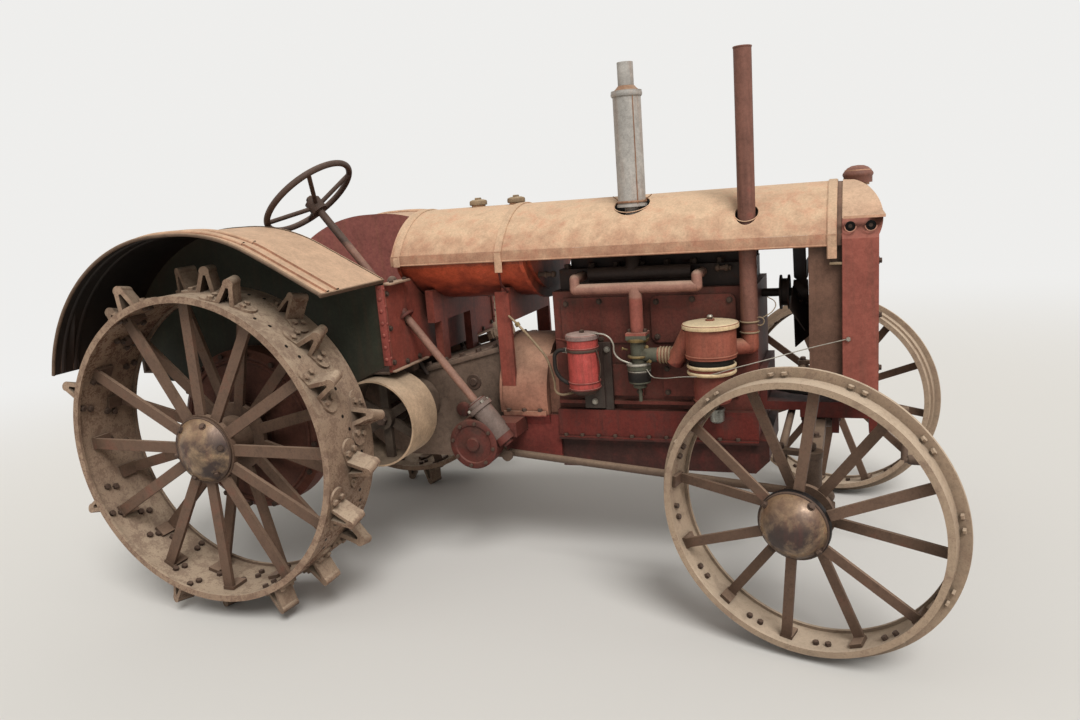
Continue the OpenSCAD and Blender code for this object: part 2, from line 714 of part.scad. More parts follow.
module front_axle() color("#4a2f28") stance() {
    difference() {
        union() {
            box([wheelbase - 22, wheelbase + 22], [-king_y, king_y], [beam_z - beam_h / 2, beam_z + beam_h / 2]);
            translate([0, 0, beam_z]) along_x(40, wheelbase - 35, wheelbase + 37);
            for (side = [-1, 1])
                translate([wheelbase, side * king_y, hub_z + boss_low + gap])
                    cylinder(r = 26, h = boss_top - boss_low - 2 * gap);
        }
        for (side = [-1, 1])
            translate([wheelbase, side * king_y, hub_z]) cylinder(r = 15 + run, h = 200);
        for (side = [-1, 1])
            translate([wheelbase, side * king_y, hub_z - 40]) cylinder(r = 44, h = 40 + boss_low + gap);
    }
    translate([0, 0, beam_z]) along_x(19.9, wheelbase - 61, wheelbase + 67);
}
// Side view of a fender: rear arc, short flat top, front arc, straight slope down to its front edge
fender_rear_cx = -10;
fender_front_cx = 50;
fender_rear_angle = acos((fender_cut_z - fender_lift) / fender_r);
slope_start = [fender_front_cx + fender_r * sin(fender_angle), fender_lift + fender_r * cos(fender_angle)];
slope_len = (fender_front_x - slope_start[0]) / cos(fender_angle);
module fender_sheet(y0, y1, rise, t, inset) {
    // The sheet over the wheel, t thick, between two distances from the centre line; rise lifts it
    // and inset holds back its two ends
    r = fender_r + rise;
    module arc(cx, from, to)
        translate([cx, -y0, fender_lift]) rotate([90, 0, 0]) rotate(from) rotate_extrude(angle = to - from)
            translate([r, 0]) square([t, y1 - y0]);
    arc(fender_rear_cx, 90, 90 + fender_rear_angle - inset / 10);
    arc(fender_front_cx, 90 - fender_angle, 90);
    box([fender_rear_cx, fender_front_cx], [-y1, -y0], [fender_lift + r, fender_lift + r + t]);
    translate([fender_front_cx, 0, fender_lift]) rotate([0, fender_angle, 0])
        box([0, slope_len - inset], [-y1, -y0], [r, r + t]);
}
module fender_body() {
    fender_sheet(fender_in - fender_t / 2, fender_out, 0, fender_t, 0);
    // Raised beads pressed along the top
    for (y = bead_places) fender_sheet(y, y + bead_width, fender_t - 2, bead_height + 2, 4);
    // Inner side plate, its edge turned up a little over the sheet
    edge_r = fender_r + fender_t + 3;
    end_s = slope_len - 4;
    translate([0, -fender_in + fender_t, 0]) rotate([90, 0, 0]) linear_extrude(fender_t) difference() {
        polygon(concat(
            [for (a = [fender_rear_angle - 1 : -3 : 0])
                [fender_rear_cx - edge_r * sin(a), fender_lift + edge_r * cos(a)]],
            [for (a = [0 : 3 : fender_angle])
                [fender_front_cx + edge_r * sin(a), fender_lift + edge_r * cos(a)]],
            [[fender_front_cx + edge_r * sin(fender_angle) + end_s * cos(fender_angle),
                fender_lift + edge_r * cos(fender_angle) - end_s * sin(fender_angle)],
                [566, 226], [425, 163], [-420, 160]]));
        circle(r = final_r + gap);
    }
    // Riveted angle down the front edge
    box([fender_front_x - 24, fender_front_x + 1], [-fender_in - 12, -fender_in + 2], [226, 500]);
}
module fender_right() color("#b59b80") stance() fender_body();
module fender_left() color("#b59b80") stance() on_left(1) fender_body();
module platform() color("#4b3328") stance() {
    w = fender_in - fender_t - gap;
    front = shield_x - gap;
    difference() {
        union() {
            box([-560, front], [-w, w], [190 + gap, 197]);
            box([-560, -548], [-w, w], [196, 260]);
            for (side = [-1, 1]) on_left(side) {
                box([-560, front], [-270, -230], [165, 191]);
                // Foot on the axle housing
                box([-60, 60], [-270, -240], [110, 166]);
            }
        }
        // Hole for the gear lever
        translate([458, 0, 150]) cylinder(r = 42, h = 100);
        for (side = [-1, 1]) on_left(side) {
            translate([0, -trans_half_w - gap, 0]) along_y(118 + gap, -220, 0);
            box([-245, 245], [-w - 1, -400], [150, 300]);
        }
    }
}
module dash_shield() color("#a3453a") stance() {
    w = fender_in - fender_t - gap;
    difference() {
        box([shield_x, 572], [-w, w], [197 + gap, 505]);
        // Clear of the tank and the steering column
        rotate([90, 0, 90]) translate([0, 0, 500]) linear_extrude(100) tank_section(8);
        rod(worm_top, worm_top - column_dir * 700, 20);
        box([550, 580], [-250, 250], [500, 600]);
    }
    for (side = [-1, 1]) on_left(side) box([571, 600], [-w, -300], [500, 505]);
}
module seat() color("#5a4a3e") stance() {
    // Pan seat on a leaf spring
    translate([-300, 0, 500]) rotate([180, 0, 0]) difference() {
        dome(215, 88);
        translate([0, 0, -1]) dome(208, 82);
    }
    translate([0, 30, 0]) rotate([90, 0, 0]) linear_extrude(60)
        polygon([[-160, 197 + gap], [-160, 212], [-520, 302], [-536, 325], [-518, 345], [-270, 404], [-270, 417],
            [-525, 359], [-552, 328], [-534, 290], [-200, 197 + gap]]);
}
module drawbar() color("#4d3a30") stance() {
    difference() {
        box([-drawbar_end, -100], [-35, 35], [-drawbar_low, -drawbar_low + 30]);
        translate([-670, 0, -260]) cylinder(r = 14, h = 60);
    }
    box([-200, -100], [-120, 120], [-215, -190.3]);
    // Hanger frame
    for (y = [-110, 92]) box([-560, -180], [y, y + 18], [-215, -190.3]);
    box([-560, -530], [-120, 120], [-215, -190.3]);
}
module steering_box() color("#9a3a30") stance() {
    difference() {
        union() {
            translate([gear_case[0], 0, gear_case[2]]) {
                along_y(gear_case_r, -column_y - 34, -column_y + 32);
                along_y(24, -column_y - 46, -column_y - 33);
            }
            rod(worm_top, worm_top + column_dir * 178, 36);
            rod(worm_top + column_dir * 20, worm_top + column_dir * 34, 46);
            // Foot on the clutch housing
            difference() {
                box([870, 960], [-column_y, -crank_half_w + 10 - gap], [-66, -14]);
                translate([0, 0, bell_z]) along_x(bell_r + gap, 860, 970);
            }
        }
        rod(worm_top - column_dir * 5, worm_top + column_dir * 60, 14 + run);
        translate([gear_case[0], 0, gear_case[2]]) along_y(16 + run, -column_y + 10, -column_y + 60);
    }
}
module starting_crank() color("#4a4540") stance() {
    translate([0, 0, crank_z]) along_x(crank_rod_r, rad_x1 - 60, rad_x1 + 100);
    rod([rad_x1 + 88, 0, crank_z], [rad_x1 + 88, 0, crank_z - 170], 11);
    rod([rad_x1 + 88, 0, crank_z - 170], [rad_x1 + 200, 0, crank_z - 170], 11);
}
module steering_wheel() color("#4f4640") stance() {
    // Shaft from the worm up through the shield
    rod(worm_top + column_dir * 55, wheel_hub, 14);
    translate(wheel_hub) rotate([0, -(90 - column_slope), 0]) {
        translate([0, 0, -20]) cylinder(r = 30, h = 48);
        translate([0, 0, 47]) rotate_extrude() translate([steer_wheel_r, 0]) circle(r = 11);
        for (a = [45 : 90 : 315]) rotate([0, 0, a]) rod([20, 0, 6], [steer_wheel_r - 4, 0, 44], 8);
    }
}
module drop_arm() color("#5a3a30") stance() {
    y = drop_plate;
    translate([gear_case[0], 0, gear_case[2]]) {
        along_y(34, y[0], y[1]);
        along_y(16, -column_y + 12, y[1]);
        rotate([0, drop_angle, 0]) box([0, drop_arm_len], [y[0] + 1, y[1] - 1], [-17, 17]);
    }
    translate([drop_end[0], 0, drop_end[2]]) along_y(20, y[0], y[1]);
}
module drag_link() color("#6a5a4c") stance() {
    // Front ball over the knuckle's arm, with its pin down through the arm's eye
    rod(drag_front, drag_rear, drag_r);
    translate(drag_front) sphere(r = 20);
    translate(drag_rear) sphere(r = 15);
    translate(drag_front - [0, 0, 38]) cylinder(r = 8, h = 36);
}
module knuckle_right() color("#4a2f28") stance() {
    at_king_pin(-1) {
        knuckle_body();
        drag_arm_body();
    }
}
module knuckle_left() color("#4a2f28") stance() at_king_pin(1) knuckle_body();
module tie_rod() color("#5a4a3e") stance() {
    // Eyes under the knuckles' arms, each with its pin up through the arm
    ends = [for (side = [-1, 1]) [wheelbase, side * king_y, tie_z] + turned([-tie_arm, 0, 0], -steer_rest)];
    for (end = ends) translate(end) {
        translate([0, 0, -12]) cylinder(r = 20, h = 24.7);
        cylinder(r = 8, h = 31);
    }
    rod(ends[0], ends[1], tie_r);
}
module front_rim_right() color("#8a6a50") stance() at_front_wheel(-1) front_rim_body();
module front_hub_right() color("#5a3a2c") stance() at_front_wheel(-1) front_hub_body();
module front_rim_left() color("#8a6a50") stance() at_front_wheel(1) front_rim_body();
module front_hub_left() color("#5a3a2c") stance() at_front_wheel(1) front_hub_body();
module rear_rim_right() color("#8a6a50") stance() rear_wheel_at(-1) rear_rim_body();
module rear_hub_right() color("#5a3a2c") stance() rear_wheel_at(-1) rear_hub_body();
module rear_rim_left() color("#8a6a50") stance() rear_wheel_at(1) rear_rim_body();
module rear_hub_left() color("#5a3a2c") stance() rear_wheel_at(1) rear_hub_body();
module rear_axle_right() color("#5a3a2c") stance() rear_wheel_at(-1) rear_axle_body();
module rear_axle_left() color("#5a3a2c") stance() rear_wheel_at(1) rear_axle_body();
module belt_pulley() color("#b59b7c") stance() translate([pulley_x, -pulley_y, pulley_z]) {
    ring_y(pulley_r, pulley_r - 7, -pulley_w / 2, pulley_w / 2);
    along_y(36, -30, 90);
    along_y(30, 80, 200);
    for (k = [0 : 5]) rotate([0, k * 60, 0]) box([-16, 16], [-6, 10], [30, pulley_r - 3]);
}
module fan() color("#3f3a36") stance() translate([0, 0, fan_z]) {
    along_x(40, fan_x, fan_x + 45);
    along_x(14, engine_front_x + gap, fan_x + 1);
    // Belt pulley and its rim
    along_x(58, fan_x - 44, fan_x - 38);
    along_x(58, fan_x - 18, fan_x - 12);
    along_x(46, fan_x - 40, fan_x - 16);
    for (k = [0 : 3]) rotate([k * 90 + 20, 0, 0]) translate([fan_x + 22, 0, 0]) rotate([0, 0, 28])
        box([-2, 2], [-45, 45], [34, fan_r - 6]);
}

transmission_case();
axle_housings();
clutch_housing();
crankcase();
engine_block();
cylinder_head();
intake_manifold();
exhaust_manifold();
carburettor();
air_cleaner();
intake_stack();
muffler();
oil_filter();
magneto();
fuel_tank();
tank_bracket();
hood();
radiator_frame();
radiator_core();
front_bolster();
front_axle();
fender_right();
fender_left();
platform();
dash_shield();
seat();
drawbar();
steering_box();
starting_crank();
steering_wheel();
drop_arm();
drag_link();
knuckle_right();
knuckle_left();
tie_rod();
front_rim_right();
front_hub_right();
front_rim_left();
front_hub_left();
rear_rim_right();
rear_hub_right();
rear_rim_left();
rear_hub_left();
rear_axle_right();
rear_axle_left();
belt_pulley();
fan();
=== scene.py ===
# A steel-wheeled farm tractor, weathered and dusty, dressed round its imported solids.
import bmesh
import bpy
import json
from math import asin, atan2, cos, pi, radians, sin, sqrt, tau
from mathutils import Matrix, Vector

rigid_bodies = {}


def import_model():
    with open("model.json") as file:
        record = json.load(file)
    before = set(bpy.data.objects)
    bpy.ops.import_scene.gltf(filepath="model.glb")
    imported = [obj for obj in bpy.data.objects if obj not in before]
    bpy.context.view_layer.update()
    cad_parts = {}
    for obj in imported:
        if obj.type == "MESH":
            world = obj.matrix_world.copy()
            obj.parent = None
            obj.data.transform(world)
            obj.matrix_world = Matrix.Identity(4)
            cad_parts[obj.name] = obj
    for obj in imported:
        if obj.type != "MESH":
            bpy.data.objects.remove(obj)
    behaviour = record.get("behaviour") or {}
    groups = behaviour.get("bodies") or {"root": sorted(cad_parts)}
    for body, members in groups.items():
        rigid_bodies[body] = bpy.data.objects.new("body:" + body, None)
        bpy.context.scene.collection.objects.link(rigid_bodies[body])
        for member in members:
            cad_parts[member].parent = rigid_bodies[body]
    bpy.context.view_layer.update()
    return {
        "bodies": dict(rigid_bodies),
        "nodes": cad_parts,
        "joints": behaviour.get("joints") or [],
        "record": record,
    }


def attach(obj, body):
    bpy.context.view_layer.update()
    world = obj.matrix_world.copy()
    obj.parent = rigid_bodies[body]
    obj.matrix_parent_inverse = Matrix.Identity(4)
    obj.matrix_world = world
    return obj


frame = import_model()
nodes = frame["nodes"]

# Where the tractor stands. Places are given in millimetres from the middle of the rear axle:
# x forward, y to the left side, z up from the body, which stands slightly nose-down.
joint_places = {joint["name"]: joint for joint in frame["joints"]}
REAR_AXLE = Vector(joint_places["rear_wheel_right_spin"]["pos_m"])
BODY_UP = Vector(joint_places["steer"]["axis"]).normalized()
NOSE_DOWN = atan2(BODY_UP.x, BODY_UP.z)
BODY = Matrix.Translation((REAR_AXLE.x, 0, REAR_AXLE.z)) @ Matrix.Rotation(NOSE_DOWN, 4, "Y")


def spot(x, y, z, frame=BODY):
    """A point, in metres of the scene, from millimetres in a piece's own frame."""
    return frame @ Vector((x / 1000, y / 1000, z / 1000))


def placed(x, y, z, turn=0.0, axis="Y", frame=BODY):
    """A frame moved to a point of another, in millimetres, then turned about one of its axes."""
    return frame @ Matrix.Translation((x / 1000, y / 1000, z / 1000)) @ Matrix.Rotation(turn, 4, axis)


# Camera, as the photograph was taken: a phone at head height by the front right wheel,
# looking a little back and down, held slightly out of level.
CAMERA_PLACE = (2066.7, -2862.4, 766.3)
CAMERA_YAW, CAMERA_PITCH, CAMERA_ROLL = 21.27, -11.40, -4.47
CAMERA_LENS, SENSOR_WIDTH = 27.478, 36
camera_data = bpy.data.cameras.new("camera")
camera_data.lens = CAMERA_LENS
camera_data.sensor_width = SENSOR_WIDTH
camera = bpy.data.objects.new("camera", camera_data)
bpy.context.scene.collection.objects.link(camera)
look = Matrix.Rotation(NOSE_DOWN, 4, "Y")
for degrees, axis in ((CAMERA_YAW, "Z"), (CAMERA_PITCH + 90, "X"), (CAMERA_ROLL, "Z")):
    look = look @ Matrix.Rotation(radians(degrees), 4, axis)
camera.matrix_world = Matrix.Translation(spot(*CAMERA_PLACE)) @ look
bpy.context.scene.camera = camera


# Ground and light: a plain pale floor that fades out to a pale backdrop, an even overcast sky,
# and one wide soft lamp from above and the front right.
def srgb(code):
    """A colour from its web code, with red, green and blue from 00 to FF."""
    parts = []
    for part in code.to_bytes(3, "big"):
        part /= 255
        parts.append(part / 12.92 if part <= 0.04045 else ((part + 0.055) / 1.055) ** 2.4)
    return (*parts, 1)


def add(tree, kind, inputs=None, **settings):
    """One shader node, its settings and its inputs, which are values or other nodes' outputs."""
    node = tree.nodes.new(kind)
    for name, value in settings.items():
        setattr(node, name, value)
    for name, value in (inputs or {}).items():
        socket = node.inputs[name]
        if isinstance(value, Signal):
            value = value.socket
        if isinstance(value, bpy.types.NodeSocket):
            tree.links.new(value, socket)
        else:
            socket.default_value = value
    return node


class Signal:
    """A node's output. Arithmetic with it adds more nodes to its tree."""

    def __init__(self, socket):
        self.socket = socket

    def joined(self, how, first, second=0.5):
        return output(self.socket.id_data, "ShaderNodeMath", {0: first, 1: second}, operation=how)

    def __add__(self, other):
        return self.joined("ADD", self, other)

    def __sub__(self, other):
        return self.joined("SUBTRACT", self, other)

    def __rsub__(self, other):
        return self.joined("SUBTRACT", other, self)

    def __mul__(self, other):
        return self.joined("MULTIPLY", self, other)

    def __abs__(self):
        return self.joined("ABSOLUTE", self)


def output(tree, kind, inputs=None, which=0, **settings):
    """One output of a new shader node."""
    return Signal(add(tree, kind, inputs, **settings).outputs[which])


def in_view(tree):
    """Whether a ray is the camera's own, straight, mirrored or through glass."""
    rays = add(tree, "ShaderNodeLightPath").outputs
    seen = rays["Is Camera Ray"]
    for other in ("Is Glossy Ray", "Is Transmission Ray"):
        seen = add(tree, "ShaderNodeMath", {0: seen, 1: rays[other]}, operation="ADD", use_clamp=True).outputs[0]
    return seen


FLOOR_COLOUR = srgb(0xDEDBD5)
FLOOR_ROUGHNESS = 0.9
FLOOR_HALF = 40
NEAR_EDGE, FAR_EDGE = 2.6, 8.0
BACKDROP = (0.86, 0.855, 0.84, 1)
SKY_COLOUR, SKY_STRENGTH = (1, 0.985, 0.955, 1), 0.48
SUN_TILT = (radians(32), radians(30), 0)
SUN_STRENGTH, SUN_SPREAD = 2.3, 28

floor_mesh = bmesh.new()
bmesh.ops.create_grid(floor_mesh, x_segments=1, y_segments=1, size=FLOOR_HALF)
floor_data = bpy.data.meshes.new("floor")
floor_mesh.to_mesh(floor_data)
floor_mesh.free()
floor = bpy.data.objects.new("floor", floor_data)
bpy.context.scene.collection.objects.link(floor)
floor_finish = bpy.data.materials.new("pale_floor")
floor_finish.use_nodes = True
tree = floor_finish.node_tree
floor_shader = tree.nodes["Principled BSDF"]
floor_shader.inputs["Base Color"].default_value = FLOOR_COLOUR
floor_shader.inputs["Roughness"].default_value = FLOOR_ROUGHNESS
floor_place = output(tree, "ShaderNodeTexCoord", which="Object")
distance = output(tree, "ShaderNodeVectorMath", {0: floor_place}, "Value", operation="LENGTH")
far = output(tree, "ShaderNodeMapRange", {0: distance, 1: NEAR_EDGE, 2: FAR_EDGE}, interpolation_type="SMOOTHSTEP")
fading = far * in_view(tree)
backdrop_glow = add(tree, "ShaderNodeEmission", {"Color": BACKDROP})
floor_mix = add(tree, "ShaderNodeMixShader", {0: fading, 1: floor_shader.outputs[0], 2: backdrop_glow.outputs[0]})
tree.links.new(floor_mix.outputs[0], tree.nodes["Material Output"].inputs["Surface"])
floor_data.materials.append(floor_finish)

world = bpy.data.worlds.new("overcast")
world.use_nodes = True
bpy.context.scene.world = world
tree = world.node_tree
sky = tree.nodes["Background"]
sky.inputs["Strength"].default_value = SKY_STRENGTH
sky.inputs["Color"].default_value = SKY_COLOUR
plain = add(tree, "ShaderNodeBackground", {"Color": BACKDROP})
world_mix = add(tree, "ShaderNodeMixShader", {0: in_view(tree), 1: sky.outputs[0], 2: plain.outputs[0]})
tree.links.new(world_mix.outputs[0], tree.nodes["World Output"].inputs["Surface"])

sun_data = bpy.data.lights.new("soft_sun", "SUN")
sun_data.energy = SUN_STRENGTH
sun_data.angle = radians(SUN_SPREAD)
sun = bpy.data.objects.new("soft_sun", sun_data)
sun.rotation_euler = SUN_TILT
bpy.context.scene.collection.objects.link(sun)
bpy.context.scene.view_settings.view_transform = "Standard"


# Weathering, shared by every finish: paint or bare metal that fades where it faces the sky,
# breaks up into patches and rust spots, gathers grime and painted shade in corners and dust on top.
def blended(factor, first, second, how="MIX"):
    """Two colours mixed by a factor."""
    inputs = {0: factor, 6: first, 7: second}
    return output(second.socket.id_data, "ShaderNodeMix", inputs, 2, data_type="RGBA", blend_type=how)


def ranged(value, low, high, to_low=0.0, to_high=1.0):
    """A value stretched from one range to another, and held inside it."""
    inputs = {0: value, 1: low, 2: high, 3: to_low, 4: to_high}
    return output(value.socket.id_data, "ShaderNodeMapRange", inputs)


# The grime colour and its amount also paint the shade that falls in corners and under ledges.
WEATHER_INPUTS = (
    ("Base", (0.3, 0.1, 0.1, 1)), ("Faded", (0.5, 0.3, 0.2, 1)), ("Patch", (0.2, 0.1, 0.1, 1)),
    ("Rust", (0.15, 0.07, 0.04, 1)), ("Grime", (0.02, 0.017, 0.015, 1)), ("Dust", (0.4, 0.32, 0.25, 1)),
    ("Fade", 0.3), ("Patchy", 0.3), ("Rusty", 0.2), ("Grimy", 0.5), ("Dusty", 0.4), ("Size", 1.0), ("Streaks", 0.3),
    ("Gloss", 0.0))
weather = bpy.data.node_groups.new("weathering", "ShaderNodeTree")
for name, value in WEATHER_INPUTS:
    kind = "NodeSocketFloat" if isinstance(value, float) else "NodeSocketColor"
    weather.interface.new_socket(name, in_out="INPUT", socket_type=kind).default_value = value
for name, kind in (("Color", "NodeSocketColor"), ("Roughness", "NodeSocketFloat"), ("Height", "NodeSocketFloat")):
    weather.interface.new_socket(name, in_out="OUTPUT", socket_type=kind)
LEDGE_REACH = 0.16
given = {name: Signal(socket) for name, socket in add(weather, "NodeGroupInput").outputs.items()}
place = output(weather, "ShaderNodeTexCoord", which="Object")
facing = output(weather, "ShaderNodeNewGeometry", which="Normal")
upward = output(weather, "ShaderNodeSeparateXYZ", {0: facing}, "Z")
sized = output(weather, "ShaderNodeVectorMath", {0: place, 3: given["Size"]}, operation="SCALE")


def cloud(scale, detail, rough=0.6, warp=0.0, vector=sized):
    """Noise in the weathering group."""
    return output(weather, "ShaderNodeTexNoise", {
        "Vector": vector, "Scale": scale, "Detail": detail, "Roughness": rough, "Distortion": warp})


broad = cloud(2.3, 4.0, 0.6, 0.4)
middling = cloud(13.0, 5.0, 0.65, 0.3)
fine = cloud(75.0, 4.0, 0.7)
grain = cloud(420.0, 2.0, 0.6)
stretch = output(weather, "ShaderNodeMapping", {0: sized, 3: (9.0, 9.0, 0.7)})
streak = cloud(4.0, 4.0, 0.65, 0.2, stretch)
# Faded where it faces up, in a ragged edge
fade_low = 0.75 - given["Fade"]
fade_mask = ranged(upward + (broad - 0.5) * 1.6, fade_low, fade_low + 0.55) * ranged(given["Fade"], 0.0, 0.15)
colour = blended(fade_mask, given["Base"], given["Faded"])
# Patches of an older coat
patch_low = 0.72 - given["Patchy"] * 0.4
patch_mask = ranged(middling * 0.6 + broad * 0.4, patch_low, patch_low + 0.14)
patch_mask *= ranged(given["Patchy"], 0.0, 0.4, 0.0, 0.85)
colour = blended(patch_mask, colour, given["Patch"])
# Streaks of run-off, only on upright faces
steep = ranged(abs(upward), 0.75, 0.3)
colour = blended(ranged(streak, 0.48, 0.7) * (steep * given["Streaks"]), colour, given["Rust"])
# Rust spots and freckles
spot_low = 0.74 - given["Rusty"] * 0.42
spot_mask = ranged(fine * 0.55 + middling * 0.45, spot_low, spot_low + 0.07)
spot_mask *= ranged(given["Rusty"], 0.0, 0.2, 0.0, 0.9)
colour = blended(spot_mask, colour, given["Rust"])
# Brightness wavers a little all over
waver = ranged(fine * 0.5 + grain * 0.5, 0.3, 0.7, 0.62, 1.36) * ranged(middling, 0.3, 0.7, 0.78, 1.18)
colour = blended(1.0, colour, output(weather, "ShaderNodeCombineXYZ", {0: waver, 1: waver, 2: waver}), "MULTIPLY")
# Grime and painted shade in corners and under ledges: ambient occlusion darkens them towards the grime colour
corner = output(
    weather, "ShaderNodeAmbientOcclusion", {"Distance": LEDGE_REACH}, "AO", samples=4) + (middling - 0.5) * 0.5
colour = blended(ranged(corner, 0.85, 0.25) * given["Grimy"], colour, given["Grime"])
# Dust lies on what faces up, and thinly on everything
dust_mask = ranged(upward + middling * 0.5, -0.45, 1.25) * given["Dusty"] * ranged(fine, 0.25, 0.6, 0.55, 1.0)
colour = blended(dust_mask, colour, given["Dust"])
rough = ranged(spot_mask + dust_mask, 0.0, 0.6, 0.5, 0.88) - given["Gloss"] * ranged(middling, 0.4, 0.65)
height = grain * 0.35 + fine * 0.5 - (spot_mask + patch_mask) * 0.25
add(weather, "NodeGroupOutput", {"Color": colour, "Roughness": rough, "Height": height})


def weathered(tree, values):
    """The weathering group in a material, with its amounts and its colours as web codes."""
    group = tree.nodes.new("ShaderNodeGroup")
    group.node_tree = weather
    for key, value in values.items():
        group.inputs[key.capitalize()].default_value = srgb(value) if isinstance(value, int) else value
    return group


GRAIN_DEPTH = 0.002


def finish(name, *colours, bump=0.2, metallic=0.0, shine=0.22, **amounts):
    """A finish from its colours in the order base, faded, patch, rust, dust, and grime with painted shade
    for corners, with the group's amounts and how deep its grain is."""
    material = bpy.data.materials.new(name)
    material.use_nodes = True
    tree = material.node_tree
    group = weathered(tree, dict(zip(("base", "faded", "patch", "rust", "dust", "grime"), colours), **amounts))
    group.name = "weathering"
    shader = tree.nodes["Principled BSDF"]
    shader.inputs["Metallic"].default_value = metallic
    shader.inputs["Specular IOR Level"].default_value = shine
    bumps = {"Height": group.outputs["Height"], "Strength": bump, "Distance": GRAIN_DEPTH}
    grain_bump = add(tree, "ShaderNodeBump", bumps)
    tree.links.new(group.outputs["Color"], shader.inputs["Base Color"])
    tree.links.new(group.outputs["Roughness"], shader.inputs["Roughness"])
    tree.links.new(grain_bump.outputs[0], shader.inputs["Normal"])
    return material


def coat(material, *names):
    """Puts one finish on carried-over solids."""
    for name in names:
        slots = nodes[name].data.materials
        slots.clear()
        slots.append(material)


# Rear wheels: a wide rolled rim with folded spade lugs bolted on, twelve flat spokes a side,
# and a cast hub with a domed cap. Bare steel, brown with rust and dried mud.
def heading(x, y, z, frame=BODY):
    """A direction of a piece's own frame, in the scene."""
    return (frame.to_3x3() @ Vector((x, y, z))).normalized()


def standing(point, way, turn=0.0, frame=BODY):
    """Where something stands on a point in millimetres of a frame, its own z along a direction.
    Without a frame the point and the direction are the scene's own."""
    if frame is not None:
        point, way = spot(*point, frame), heading(*way, frame)
    turned = way.to_track_quat("Z", "Y").to_matrix().to_4x4() @ Matrix.Rotation(turn, 4, "Z")
    return Matrix.Translation(point) @ turned


def made(name, mesh, material, body="chassis", smooth=40):
    """Turns a finished bmesh into a piece that rides on a body; smooth is the sharpest soft angle."""
    bmesh.ops.recalc_face_normals(mesh, faces=mesh.faces[:])
    data = bpy.data.meshes.new(name)
    mesh.to_mesh(data)
    mesh.free()
    data.shade_smooth()
    data.set_sharp_from_angle(angle=radians(smooth))
    data.materials.append(material)
    piece = bpy.data.objects.new(name, data)
    bpy.context.scene.collection.objects.link(piece)
    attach(piece, body)
    return piece


def cone(mesh, sides, low, high, tall, matrix):
    """Adds a capped cone or drum, in millimetres, with its middle at a place."""
    bmesh.ops.create_cone(mesh, cap_ends=True, segments=sides, radius1=low / 1000, radius2=high / 1000,
                          depth=tall / 1000, matrix=matrix)


def hex_heads(name, places, across, tall, material, body="chassis", washer=0, frame=BODY):
    """Bolt heads or nuts, each on a point with its direction, over a round washer."""
    mesh = bmesh.new()
    corner = across / 2 / cos(pi / 6)
    for number, (point, way) in enumerate(places):
        here = standing(point, way, number * 1.3, frame)
        if washer:
            cone(mesh, 16, washer / 2, washer / 2, 4, here)
        cone(mesh, 6, corner, corner, tall, placed(0, 0, tall / 2, frame=here))
        cone(mesh, 6, corner * 0.97, corner * 0.78, tall / 5, placed(0, 0, tall, frame=here))
    return made(name, mesh, material, body, 25)


def rivets(name, places, across, material, body="chassis", flat=0.6, frame=BODY):
    """Round rivet heads, each on a point with its direction."""
    mesh = bmesh.new()
    for point, way in places:
        bmesh.ops.create_uvsphere(mesh, u_segments=10, v_segments=6, radius=across / 2000,
                                  matrix=standing(point, way, 0, frame) @ Matrix.Diagonal((1, 1, flat, 1)))
    return made(name, mesh, material, body, 60)


def lathed(name, outline, point, way, material, body="chassis", frame=BODY, steps=40,
           closed=False, smooth=40):
    """A turned piece from its outline of (radius, height) in millimetres, standing on a point."""
    mesh = bmesh.new()
    ring = [mesh.verts.new((radius / 1000, 0, height / 1000)) for radius, height in outline]
    edges = [mesh.edges.new(pair) for pair in zip(ring, ring[1:])]
    if closed:
        edges.append(mesh.edges.new((ring[-1], ring[0])))
    bmesh.ops.spin(mesh, geom=ring + edges, cent=(0, 0, 0), axis=(0, 0, 1), dvec=(0, 0, 0),
                   angle=tau, steps=steps, use_merge=True, use_duplicate=False)
    bmesh.ops.remove_doubles(mesh, verts=mesh.verts[:], dist=0.00001)
    bmesh.ops.transform(mesh, matrix=standing(point, way, 0, frame), verts=mesh.verts[:])
    return made(name, mesh, material, body, smooth)


def hoop(name, radius, thick, point, way, material, body="chassis", frame=BODY, tall=None,
         steps=48):
    """A ring of round or flattened section about a direction."""
    tall = tall or thick
    section = [(radius + thick * cos(tau * k / 10), tall * sin(tau * k / 10)) for k in range(10)]
    return lathed(name, section, point, way, material, body, frame, steps, closed=True, smooth=60)


def dome(name, radius, tall, point, way, material, body, frame):
    """A round cap on a wheel's hub, a part of a ball."""
    ball = (radius ** 2 + tall ** 2) / (2 * tall)
    widest = atan2(radius, ball - tall)
    outline = [(ball * sin(a), ball * cos(a) - (ball - tall))
               for a in [widest * (1 - step / 14) for step in range(14)]]
    return lathed(name, outline + [(0.01, tall)], point, way, material, body, frame, steps=64)


def block(name, x, y, z, soften, material, frame=BODY):
    """A block from its ranges along the axes of a frame, its edges softened."""
    mesh = bmesh.new()
    size = [(high - low) / 1000 for low, high in (x, y, z)]
    middle = [(high + low) / 2000 for low, high in (x, y, z)]
    bmesh.ops.create_cube(mesh, size=1, matrix=frame @ Matrix.Translation(middle) @ Matrix.Diagonal((*size, 1)))
    bmesh.ops.bevel(mesh, geom=mesh.edges[:], offset=soften / 1000, offset_type="OFFSET", affect="EDGES",
                    segments=2, profile=0.5, material=-1, clamp_overlap=True)
    return made(name, mesh, material)


